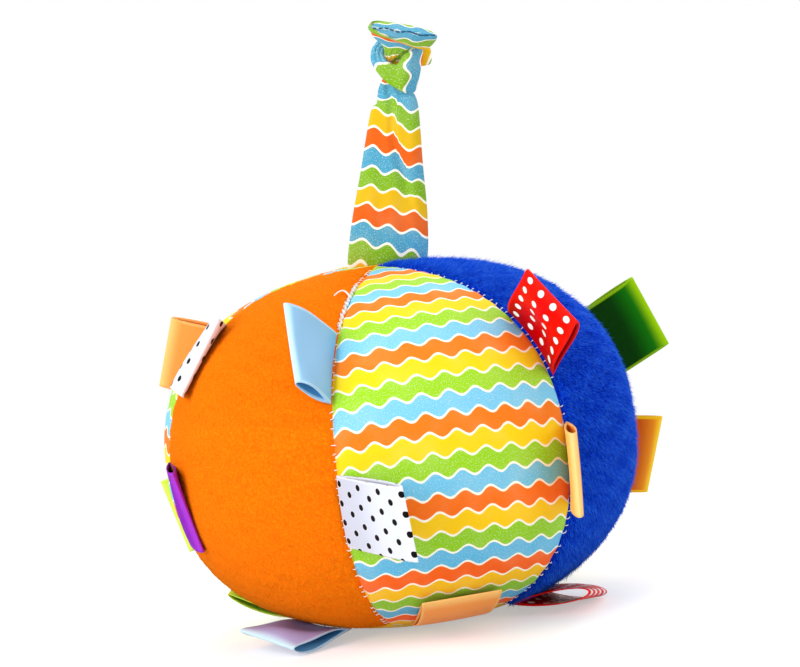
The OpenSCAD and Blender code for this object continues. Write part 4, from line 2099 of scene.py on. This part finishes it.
@dataclass
class HangingStrap:
    """Striped strap that stands on the ball, with a knot and a closed end.

    Every station is a place, a width, a thickness, the turn of its width and the number
    of the printed band that lies there. A smooth curve runs through them. The bands are
    counted upwards: blue, orange, yellow and green, and blue again.

    Args:
        finish: its cloth.
        thread: finish of the stitches in its closed end.
        root_z: height of its root.
        shift: how far its root stands to the right of the ball's middle.
        width, neck_width: width at the root and just under the knot.
        thickness, root_thickness: thickness halfway up and at the root.
        knot_rise: height of the knot's middle over the root.
        knot_pitch: spacing of the knot's strands.
        neck_below: where the neck ends under the knot's middle, in shares of the spacing.
        wrap_width: width of the cloth that wraps round the knot.
        strand_thickness: thickness of the gathered cloth in the knot.
        end_width, end_thickness: size of the closed end.
        lean: sideways lean in degrees.
        band: width of one printed band.
        sides, steps: corners of a ring, and rings between two stations.
        corner: power that fills a ring's corners out, where 1 is an ellipse.
        fold_soft, fold_proud: half width of the fold's edge, and how far it stands proud.
        fold_heights: heights where the fold starts and is whole.
        valley, valley_gap, valley_width: depth, distance and width of the valley beside it.
        ripple, ripple_fade: height of the neck's ripples, and where they are whole.
        gather: depth of the gathers.
        print_rise: share by which the bands rise to the right.
        drawn, drawn_share: how far the print is drawn aside, and together as a share.
        drawn_heights: heights where that starts and is whole.
        tuck_place, tuck_half: middle of the tuck over the knot's, and half of its size.
        tuck_lean, tuck_bow: how far its top leans to the left and bows back.
        tuck_bands: band number in its middle, and its growth upwards and to the right.
        end_stitches: number of stitches in the closed end.
        end_reach, end_scatter, end_dash: place of the outer ones, how far each strays, and
            half of the first and the last, as shares of half the width.
        end_wave, end_lift, end_radius: how far they wave and stand up, and half thickness.
        end_taper: shares of the thickness from end to end.
    """

    finish: Finish
    thread: Thread
    root_z: float
    shift: float = 3.6 * MM
    width: float = 24.0 * MM
    neck_width: float = 14.0 * MM
    thickness: float = 4.6 * MM
    root_thickness: float = 0.8 * MM
    knot_rise: float = 57.5 * MM
    knot_pitch: float = 5.0 * MM
    neck_below: float = 2.34
    wrap_width: float = 12.0 * MM
    strand_thickness: float = 2.4 * MM
    end_width: float = 21.5 * MM
    end_thickness: float = 5.2 * MM
    lean: float = 9.8
    band: float = 5.5 * MM
    sides: int = 72
    steps: int = 12
    corner: float = 0.9
    fold_soft: float = 0.7 * MM
    fold_proud: float = 0.8 * MM
    fold_heights: tuple[float, float] = (7.0 * MM, 26.0 * MM)
    valley: float = 0.9 * MM
    valley_gap: float = 1.2 * MM
    valley_width: float = 1.0 * MM
    ripple: float = 0.2 * MM
    ripple_fade: float = 12.0 * MM
    gather: float = 0.34 * MM
    print_rise: float = 0.3
    drawn: float = 1.4 * MM
    drawn_share: float = 0.08
    drawn_heights: tuple[float, float] = (11.0 * MM, 26.0 * MM)
    tuck_place: tuple[float, float, float] = (8.1 * MM, 2.4 * MM, 2.25 * MM)
    tuck_half: tuple[float, float, float] = (2.5 * MM, 0.9 * MM, 3.15 * MM)
    tuck_lean: float = 0.5 * MM
    tuck_bow: float = 0.6 * MM
    tuck_bands: tuple[float, float, float] = (2.22, -0.24, 0.1)
    end_stitches: int = 11
    end_reach: float = 0.86
    end_scatter: float = 0.008
    end_dash: tuple[float, float] = (0.05, 0.092)
    end_wave: float = 0.28 * MM
    end_lift: float = 0.12 * MM
    end_radius: float = 0.21 * MM
    end_taper: tuple[float, ...] = (0.6, 0.95, 1.0, 1.0, 0.95, 0.6)

    def stations(self) -> Array:
        """Stations: place, width, thickness, turn in radians and band, one row each.

        Returns:
            The stations, from the root to the strap's end.
        """
        neck = np.zeros((len(NECK_PLACES), 7))
        height, narrowing, fullness = NECK_PLACES.T
        neck[:, 2] = (self.knot_rise - self.neck_below * self.knot_pitch) * height
        neck[:, 3] = self.width + (self.neck_width - self.width) * narrowing
        neck[:, 4] = self.root_thickness + (self.thickness - self.root_thickness) * fullness
        neck[:, 6] = np.interp(neck[:, 2], *NECK_BANDS)
        lift = np.array([0.0, 0.0, self.knot_rise])
        parts = [neck]
        for places, wide, thick in (
            (KNOT_PLACES, self.wrap_width, self.strand_thickness),
            (END_PLACES, self.end_width, self.end_thickness),
        ):
            part = np.zeros((len(places), 7))
            part[:, :3] = places[:, :3] * self.knot_pitch + lift
            part[:, 3], part[:, 4] = places[:, 3] * wide, places[:, 4] * thick
            part[:, 5], part[:, 6] = places[:, 5] * 2.0 * np.pi, places[:, 6]
            parts.append(part)
        return np.concatenate(parts)

    def run(self) -> Array:
        """Smooth run through the stations: each step is a cubic of its four neighbours.

        Returns:
            The run, in the stations' columns.
        """
        stations = self.stations()
        first, last = stations[:1], stations[-1:]
        a = np.concatenate([first, stations[:-2]])[:, None]
        b, c = stations[:-1, None], stations[1:, None]
        d = np.concatenate([stations[2:], last])[:, None]
        t = np.linspace(0.0, 1.0, self.steps, endpoint=False)[None, :, None]
        bend = (2 * a - 5 * b + 4 * c - d) * t**2 + (3 * b - 3 * c + d - a) * t**3
        return np.concatenate([((2 * b + (c - a) * t + bend) / 2).reshape(-1, 7), last])

    def directions(self, run: Array) -> tuple[Array, Array, Array]:
        """Heading, width and thickness directions of each ring.

        The width lies where its turn puts it in the upright plane, made square to the
        heading, and the thickness is square to both.

        Args:
            run: the run.

        Returns:
            The three directions of each ring.
        """
        heading = unit(np.gradient(run[:, :3], axis=0))
        plain = np.stack([np.cos(run[:, 5]), np.zeros(len(run)), np.sin(run[:, 5])], axis=-1)
        wide = unit(plain - heading * (plain * heading).sum(axis=-1, keepdims=True))
        return heading, wide, np.cross(heading, wide)

    def stood(self, points: Array) -> Array:
        """Points of the upright strap moved to its root and leant over.

        Args:
            points: places on the upright strap.

        Returns:
            The places on the ball.
        """
        moved = points.copy()
        moved[..., 0] += self.shift + moved[..., 2] * math.tan(math.radians(self.lean))
        moved[..., 2] += self.root_z
        return moved

    def _fold(self, x: Array, z: Array) -> Array:
        """How far right of the soft fold a place on the neck is, 0 to 1.

        The fold starts at the right edge low down and reaches the middle at the knot.
        """
        return ease(-self.fold_soft, self.fold_soft, x - np.interp(z, *FOLD_LINE))

    def cloth_grid(self) -> tuple[Array, Array]:
        """Rings of the strap and their places on the print.

        A ring's point is the place plus half the width and half the thickness by powers
        of the cosine and the sine that fill its corners out. On the neck's front the part
        right of the fold stands proud, with a valley beside it. Where the strap is
        gathered, grooves run along it. The band number grows with the height and to the
        right, and jumps at the fold.

        Returns:
            The points and the places, rings by sides by three or two.
        """
        run = self.run()
        wide, thick = self.directions(run)[1:]
        cosine, sine = turned(np.linspace(0.0, 2.0 * np.pi, self.sides + 1))
        flat, deep = (np.sign(part) * np.abs(part) ** self.corner for part in (cosine, sine))
        across = run[:, 3, None] / 2.0 * flat
        number = np.arange(len(run))[:, None] / self.steps
        on_neck = 1.0 - ease(*NECK_END, number)
        gathered = ease(*GATHER_START, number) * (1.0 - ease(*GATHER_END, number))
        gathered = gathered * ease(1.0, 0.5, run[:, 3, None] / self.wrap_width)
        high = run[:, 2, None] + 0.0 * across
        fold = self._fold(across, high)
        off = (across - np.interp(high, *FOLD_LINE) + self.valley_gap) / self.valley_width
        proud = self.fold_proud * fold - self.valley * np.exp(-(off**2))
        proud = proud * ease(*self.fold_heights, high) * on_neck
        soft = self.ripple * np.sin(across * RIPPLES[0] + high * RIPPLES[1])
        soft = soft * ease(0.0, self.ripple_fade, high)
        proud = (proud + soft * on_neck) * np.where(deep < 0.0, np.abs(deep) ** 0.5, 0.0)
        wave = np.sin(flat * GATHERS[0] + number * GATHERS[1])
        groove = self.gather * (0.5 + 0.5 * wave) * gathered
        depth = run[:, 4, None] / 2.0 * deep - proud
        depth = depth - groove * np.sign(deep) * np.abs(deep) ** 0.4
        ring = run[:, None, :3] + wide[:, None] * across[..., None]
        ring = ring + thick[:, None] * depth[..., None]
        rise = self.print_rise * across + np.interp(high, *FOLD_STEP) * fold
        bands = run[:, 6, None] + rise * on_neck / self.band
        drawn = ease(*self.drawn_heights, high)
        round_it = (across - self.drawn * drawn) * (1.0 + self.drawn_share * drawn)
        return self.stood(ring), np.stack([round_it, -bands * self.band], axis=-1)

    def tuck(self) -> tuple[Array, Array]:
        """A tuck of the cloth that peeps out behind the knot: a flat rounded pillow.

        At each latitude its level outline is an ellipse whose size is the root of the
        latitude's cosine.

        Returns:
            The points and the places on the print.
        """
        lat, turn = lattice((-np.pi / 2.0, np.pi / 2.0, 17), (0.0, 2.0 * np.pi, 33))
        up, level = np.sin(lat), np.cos(lat)
        level = level**0.5
        place, half = self.tuck_place, self.tuck_half
        x = place[0] + half[0] * level * np.cos(turn) - self.tuck_lean * up
        y = place[1] + half[1] * level * np.sin(turn) + self.tuck_bow * np.sin(up * 3.0)
        z = self.knot_rise + place[2] + half[2] * up
        points = np.stack([x, y, z], axis=-1)
        middle, upwards, right = self.tuck_bands
        bands = middle + upwards * up + right * np.cos(turn)
        return self.stood(points), np.stack([x, -bands * self.band], axis=-1)

    def build(self) -> None:
        """Knots the strap and sews its end."""
        ring, places = self.cloth_grid()
        caps = [
            np.broadcast_to(end.mean(axis=1, keepdims=True), end.shape)
            for end in (ring[:1], ring[-1:])
        ]
        grid = np.concatenate([caps[0], ring, caps[1]])
        places = np.concatenate([places[:1], places, places[-1:]])
        body = Surface.from_grid(grid, places)
        area, way = body.area() / 2.0, self.run()[:, :3]
        length = float(np.linalg.norm(np.diff(way, axis=0), axis=1).sum())
        surface = Surface.joined([body, Surface.from_grid(*self.tuck())])
        piece = surface.piece("hanging_strap_cloth", outward=True)
        self.finish.put_on(piece)
        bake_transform(piece)
        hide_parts("hanging_strap")
        min(area, self.width * length)
        log.info("strap: run %.1f mm, cloth %.1f cm2", 1e3 * length, 1e4 * area)
        self.build_stitches()

    def build_stitches(self) -> None:
        """Running stitches along the closed end, each a short round dash."""
        run = self.run()
        heading, wide, thick = (part[-1] for part in self.directions(run))
        chance = np.random.default_rng(31)
        count, points = self.end_stitches, len(self.end_taper)
        middle = np.linspace(-self.end_reach, self.end_reach, count)
        middle = middle + chance.normal(0.0, self.end_scatter, count)
        dash = np.linspace(*self.end_dash, count)[:, None] * np.linspace(-1.0, 1.0, points)
        share = middle[:, None] + dash
        side = run[-1, 3] / 2.0 * share
        wave = self.end_wave * np.sin(share * 9.0)
        lift = self.end_lift + self.end_lift * np.cos(np.linspace(-1.3, 1.3, points)) + 0.0 * share
        path = run[-1, :3] + wide * side[..., None] + thick * wave[..., None]
        path = self.stood(path + heading * lift[..., None])
        radii = self.end_radius * np.array(self.end_taper) + 0.0 * share
        piece = tubes(path, radii, 8).piece("strap_end_stitches", weld=0.0)
        self.thread.put_on(piece)
        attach(piece, "strap")


# Studio.


# Lamps: name, place, width, and power in watts.
LAMPS = (
    ("key_softbox", (-0.95, -0.75, 0.85), 0.9, 11.0),
    ("fill_softbox", (0.95, -0.9, 0.5), 0.9, 4.6),
    ("low_softbox", (-0.95, -0.8, 0.14), 0.7, 4.4),
    ("top_softbox", (0.1, 0.25, 1.3), 1.0, 6.8),
    ("back_softbox", (0.5, 1.1, 0.7), 0.8, 7.0),
)
WHITE: Colour = (1.0, 1.0, 1.0, 1.0)


@dataclass
class Studio:
    """Camera, lamps, floor and background.

    Args:
        aim: point that the camera was set on before it was raised.
        turn: turn of the view round the ball in degrees.
        elevation: height of the view in degrees.
        roll: turn of the picture in degrees.
        raised: degrees by which the aim is raised over the point.
        yaw: degrees by which it is turned aside.
        distance: distance from the point.
        lens, sensor: focal length and width of the sensor, in millimetres.
        sky, sky_strength: colour and strength of the light from the surroundings.
        glow: light that the floor gives off, so that shadows on it stay pale.
        fade_from, fade_to: distances where the floor starts to fade and is white.
        rings: radii of the floor's rings.
    """

    aim: tuple[float, float, float] = (0.0, 0.0, 52.8 * MM)
    turn: float = -1.5
    elevation: float = 8.56
    roll: float = 7.33
    raised: float = 1.855
    yaw: float = -0.029
    distance: float = 1.0
    lens: float = 150.2
    sensor: float = 36.0
    sky: Colour = (0.97, 0.985, 1.0, 1.0)
    sky_strength: float = 0.58
    glow: float = 0.42
    fade_from: float = 0.11
    fade_to: float = 0.3
    rings: tuple[float, ...] = (0.0, 0.05, 0.1, 0.2, 0.4, 0.8)

    def build_camera(self) -> None:
        """Sets the camera: back is the way from the point to it, and then it is turned."""
        x, y, z = np.eye(3)
        right, level = spun(x, y, self.turn)
        back, up = spun(-level, z, self.elevation)
        up, right = spun(up, right, self.roll)
        up, facing = spun(up, back, self.raised)
        facing, right = spun(facing, right, self.yaw)
        data = bpy.data.cameras.new("camera")
        data.lens, data.sensor_width = self.lens, self.sensor
        camera = bpy.data.objects.new("camera", data)
        bpy.context.scene.collection.objects.link(camera)
        turn = Matrix([right, up, facing]).transposed().to_4x4()
        place = Vector(self.aim) + Vector(back) * self.distance
        camera.matrix_world = Matrix.Translation(place) @ turn
        bpy.context.scene.camera = camera

    def lamp(self, name: str, place: Sequence[float], size: float, power: float) -> None:
        """Hangs a soft square lamp that faces the ball.

        Args:
            name: its name.
            place: where it hangs.
            size: its width.
            power: its power in watts.
        """
        data = bpy.data.lights.new(name, "AREA")
        data.size, data.energy = size, power
        data.color = WHITE[:3]
        lamp = bpy.data.objects.new(name, data)
        bpy.context.scene.collection.objects.link(lamp)
        lamp.location = Vector(place)
        lamp.rotation_mode = "QUATERNION"
        lamp.rotation_quaternion = (Vector(self.aim) - Vector(place)).to_track_quat("-Z", "Y")

    def build_world(self) -> None:
        """Soft pale surroundings that look white to the camera."""
        world = bpy.data.worlds.new("surroundings")
        bpy.context.scene.world = world
        work = NodeWork(world)
        soft, white = (
            work.add("ShaderNodeBackground", inputs={"Color": colour, "Strength": strength})
            for colour, strength in ((self.sky, self.sky_strength), (WHITE, 1.0))
        )
        mixed = work.blended(work.rays("Camera", "Transmission"), soft, white)
        work.add("ShaderNodeOutputWorld", inputs={"Surface": mixed.outputs[0]})

    def build_floor(self) -> None:
        """Lays the pale floor, which fades into the white surroundings further out.

        To the camera and in gloss it glows a little. To all other rays it is only matt.
        """
        cosine, sine = turned(np.linspace(0.0, 2.0 * np.pi, 97))
        reach = np.array(self.rings)[:, None]
        grid = np.stack(np.broadcast_arrays(-reach * cosine, reach * sine, 0.0), axis=-1)
        floor = Surface.from_grid(grid, grid[..., :2]).piece("floor")
        work = NodeWork.of_material("pale_floor")
        place = work.object_place()
        length = work.add("ShaderNodeVectorMath", {"operation": "LENGTH"}, {0: place})
        far = Reading(work, length.outputs["Value"])
        grain = work.noise(place, 300.0, 2.0)
        colour = work.mix(grain * 0.05, paint(226, 226, 226), paint(216, 216, 218))
        matt = work.add("ShaderNodeBsdfDiffuse", inputs={"Color": colour})
        glow, white = (
            work.add("ShaderNodeEmission", inputs={"Strength": strength})
            for strength in (self.glow, 1.0)
        )
        both = work.add("ShaderNodeAddShader", inputs={0: matt.outputs[0], 1: glow.outputs[0]})
        seen = work.blended(far.eased(self.fade_from, self.fade_to), both, white)
        mixed = work.blended(work.rays("Camera", "Glossy", "Transmission"), matt, seen)
        work.add("ShaderNodeOutputMaterial", inputs={"Surface": mixed.outputs[0]})
        floor.data.materials.append(work.owner)

    def build(self) -> None:
        """Sets up the whole studio."""
        bpy.context.scene.view_settings.view_transform = "Standard"
        self.build_camera()
        for lamp in LAMPS:
            self.lamp(*lamp)
        self.build_world()
        self.build_floor()
        log.info("studio set up")


# The ball's own parts.


def striped_print(name: str, shaded_low: bool, *layout: float) -> StripedCotton:
    """The striped print in its four colours.

    Args:
        name: the material's name.
        shaded_low: whether its colours turn deeper low down, as painted shade.
        layout: place of the middle of a blue band, width of a band, and length, height
            and crest of its waves, in millimetres.

    Returns:
        The finish.
    """
    # Painted light and shade: pale bands up high, deeper ones low down and on the strap.
    bands = (paint(120, 200, 232), paint(244, 124, 12), paint(246, 212, 2), paint(156, 212, 14))
    low = (paint(82, 180, 224), paint(250, 94, 4), paint(252, 194, 2), paint(136, 198, 8))
    if not shaded_low:
        bands = (paint(72, 160, 194), paint(230, 96, 4), paint(228, 182, 2), paint(126, 178, 4))
        low = bands
    return StripedCotton(name, bands, low, *(number * MM for number in layout))


def velour(name: str, deep: Colour, main: Colour, light: Colour) -> tuple[PlushGround, Pile]:
    """Velour in one colour: its ground and its short upright nap.

    Args:
        name: what its materials' names start with.
        deep, main, light: painted shade in its hollows, its colour all over, and where it catches
            light.

    Returns:
        The ground and the nap.
    """
    ground = PlushGround(name + "_velour", deep, main, 1100.0, 0.04, light)
    nap = PileFinish(name + "_nap", deep, main, light, 0.04, light)
    return ground, Pile(nap, 56000, 2, 0.5 * MM, 0.2 * MM, 0.35, 0.3, False)


def make_panels() -> list[Panel]:
    """The six panels with their cloths.

    Returns:
        The panels, from the front one round.
    """
    stripes = striped_print("striped_jersey", True, 42.0, 5.69, 7.85, 1.0, -0.9)
    orange, orange_nap = velour(
        "orange", paint(250, 114, 2), paint(252, 138, 10), paint(255, 152, 24)
    )
    yellow, yellow_nap = velour(
        "yellow", paint(240, 178, 8), paint(254, 212, 24), paint(255, 228, 90)
    )
    # Painted shade in the fleece's hollows and at the fibres' roots; painted light at their tips.
    blue = PlushGround(
        "blue_fleece", paint(0, 38, 172), paint(2, 76, 234), 700.0, 0.05, paint(40, 120, 255)
    )
    root, middle, tip = paint(0, 44, 190), paint(2, 82, 240), paint(70, 148, 255)
    fibres = PileFinish("blue_fibres", root, middle, tip, 0.12, paint(60, 140, 255))
    blue_pile = Pile(fibres, 21500, 3, 1.75 * MM, 0.17 * MM, 0.6, 0.38, True)
    return [
        Panel("panel_orange_plush", -1, "orange_plush", orange, orange_nap, 11),
        Panel("panel_striped_front", 0, "striped_cotton", stripes, None, 12),
        Panel("panel_blue_plush", 1, "blue_plush", blue, blue_pile, 13),
        Panel("panel_striped_right", 2, "striped_cotton", stripes, None, 14),
        Panel("panel_yellow_plush", 3, "yellow_plush", yellow, yellow_nap, 15),
        Panel("panel_striped_left", 4, "striped_cotton", stripes, None, 16),
    ]


def ribbon(name: str, *shades: tuple[int, int, int], **looks: Any) -> Ribbon:
    """A ribbon by its colours on a screen: its own, at the fold and in the shade."""
    return Ribbon(name, *(paint(*shade) for shade in shades), **looks)


def make_tags() -> list[Tag]:
    """The eighteen ribbon tags: what each is made of and where it grows.

    The green, the amber and the lilac ribbon darken close to the fold.

    Returns:
        The tags.
    """
    black_dots = Dots(paint(14, 14, 16), paint(225, 225, 232), 1.9 * MM, 5.7 * MM, 4.7 * MM, 0.45)
    white_dots = Dots(paint(255, 248, 248), paint(120, 0, 0), 2.3 * MM, 5.8 * MM, 5.0 * MM, 0.0)
    dark = {"shade_from": 2.0 * MM, "shade_to": 13.0 * MM}
    light_blue = ribbon(
        "light_blue_satin", (146, 192, 226), (206, 238, 250), (80, 168, 226), reach=1.0 * MM
    )
    white = ribbon(
        "white_dotted_satin", (218, 222, 232), (238, 240, 246), (196, 200, 216),
        dots=black_dots, width=22.0 * MM, slot="white_dotted_ribbon",
    )
    red = ribbon(
        "red_dotted_satin", (234, 4, 4), (255, 30, 18), (176, 0, 6),
        dots=white_dots, slot="red_dotted_ribbon",
    )
    peach = ribbon(
        "peach_satin", (252, 160, 78), (255, 204, 122), (246, 132, 50), slot="peach_ribbon"
    )
    peach_ribbed = ribbon(
        "peach_grosgrain", (252, 186, 92), (255, 216, 140), (246, 150, 50),
        weave=Weave.GROSGRAIN, slot="peach_ribbon",
    )
    green = ribbon("green_satin", (16, 118, 4), (168, 218, 0), (0, 46, 0), reach=3.0 * MM, **dark)
    amber = ribbon(
        "amber_satin", (234, 140, 0), (255, 222, 0), (186, 72, 0),
        reach=3.4 * MM, slot="amber_ribbon", **dark,
    )
    turquoise = ribbon("turquoise_satin", (20, 190, 200), (130, 232, 232), (0, 130, 150))
    pink = ribbon("pink_satin", (240, 110, 170), (255, 180, 212), (200, 60, 130))
    lime = ribbon("lime_satin", (184, 222, 56), (218, 240, 96), (170, 206, 40), slot="lime_ribbon")
    purple = ribbon(
        "purple_grosgrain", (134, 14, 182), (170, 60, 206), (44, 2, 66),
        weave=Weave.GROSGRAIN, reach=3.0 * MM,
    )
    blue = ribbon("blue_satin", (20, 80, 200), (90, 150, 240), (6, 40, 130))
    lilac = ribbon(
        "lilac_satin", (180, 180, 230), (206, 242, 255), (172, 164, 220),
        reach=1.6 * MM, shade_from=2.0 * MM, shade_to=9.0 * MM, lining=paint(110, 196, 236),
    )
    upper_white = SeamTag(-1, 31.5, 83, -8, 0.9, 1.04, 1.5)
    lilac_place = BaseTag(-66, -3, -4, 1.03, 0.08, 1.2)
    return [
        Tag("light_blue_upper", SeamTag(0, 29, -32, 17, 0.8, 1, 1.5), light_blue, dip=0.5 * MM),
        Tag("white_dotted_lower", SeamTag(0, -6.5, 54, -5, 1.5, 0.9), white, sway=0.5 * MM),
        Tag("red_dotted_upper", SeamTag(1, 27, -23, -15, 1.28), red, dip=1.2 * MM),
        Tag("peach_lower", SeamTag(1, -4, -45, -2, 1), peach_ribbed),
        Tag("green_upper", SeamTag(2, 16, 17, -3, 1.12), green, sway=0.6 * MM),
        Tag("amber_lower", SeamTag(2, -12.5, 37, 9, 1.08), amber),
        Tag("turquoise_upper", SeamTag(3, 24, 20, 0, 1), turquoise),
        Tag("pink_lower", SeamTag(3, -10, -35, 0, 1), pink, dip=0.4 * MM),
        Tag("peach_upper", SeamTag(-2, 20, 47, 1, 1.23), peach),
        Tag("lime_lower", SeamTag(-2, -14, 50, 4, 1.3), lime, dip=0.4 * MM),
        Tag("white_dotted_upper", upper_white, white, sway=-1.0 * MM, twist=-2.2 * MM),
        Tag("purple_lower", SeamTag(-1, -6.5, 92, 0, 1.1, 1.04, 0.8), purple, twist=-1.7 * MM),
        Tag("peach_base", BaseTag(-2, 12, -4, 1.2, 0.24, 0.5), peach),
        Tag("red_dotted_base", BaseTag(52, -1, -8, 1.12, 0.03, 1.6), red, twist=2.7 * MM),
        Tag("green_base", BaseTag(120, 4, 0, 1, 0.08, 0.8), green),
        Tag("blue_base", BaseTag(180, 4, 0, 1, 0.08, 0.8), blue),
        Tag("lime_base", BaseTag(-112, 14, 0, 1.1, 0.24, 0.5), lime, twist=1.0 * MM),
        Tag("lilac_base", lilac_place, lilac, dip=0.9 * MM, twist=1.9 * MM),
    ]


def dress_rattle(nodes: dict[str, Piece]) -> None:
    """Gives the rattle's own nodes their plastics.

    Args:
        nodes: the model's nodes by name.
    """
    Moulded("capsule_shell", paint(240, 240, 236), paint(226, 228, 230)).put_on(nodes["rattle_cup"])
    Moulded("capsule_lid", paint(222, 92, 60), paint(206, 74, 48)).put_on(nodes["rattle_lid"])
    Moulded("bead_plastic", paint(200, 30, 50), paint(170, 20, 40), 0.2).put_on(
        nodes["rattle_beads"]
    )
    log.info("rattle dressed")


def corners(box: tuple[Iterable[float], Iterable[float]]) -> list[list[float]]:
    """A box's two corners as plain lists of numbers."""
    return [[float(x) for x in corner] for corner in box]


def main() -> None:
    """Builds the studio and every piece of the ball."""
    logging.basicConfig(level=logging.INFO, format="%(message)s")
    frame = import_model()
    Studio().build()
    shape = BallShape()
    patch = PlainCloth("yellow_cotton", paint(255, 214, 20), paint(246, 186, 6))
    thread = Thread("white_thread", paint(255, 254, 250), paint(236, 232, 226))
    Cover(shape, make_panels(), patch, thread).build()
    wadding = Wadding("fibre_wadding", paint(250, 249, 245), paint(214, 210, 200))
    Filling(shape, wadding).build()
    maker = TagMaker(shape)
    for tag in make_tags():
        maker.build(tag)
    strap_print = striped_print("striped_strap", False, 0.0, 5.5, 7.6, 0.9, 3.6)
    teal = Thread("teal_thread", paint(4, 96, 148), paint(0, 44, 84))
    HangingStrap(strap_print, teal, shape.top_z + 0.35 * MM).build()
    dress_rattle(frame["nodes"])
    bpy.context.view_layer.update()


if __name__ == "__main__":
    main()
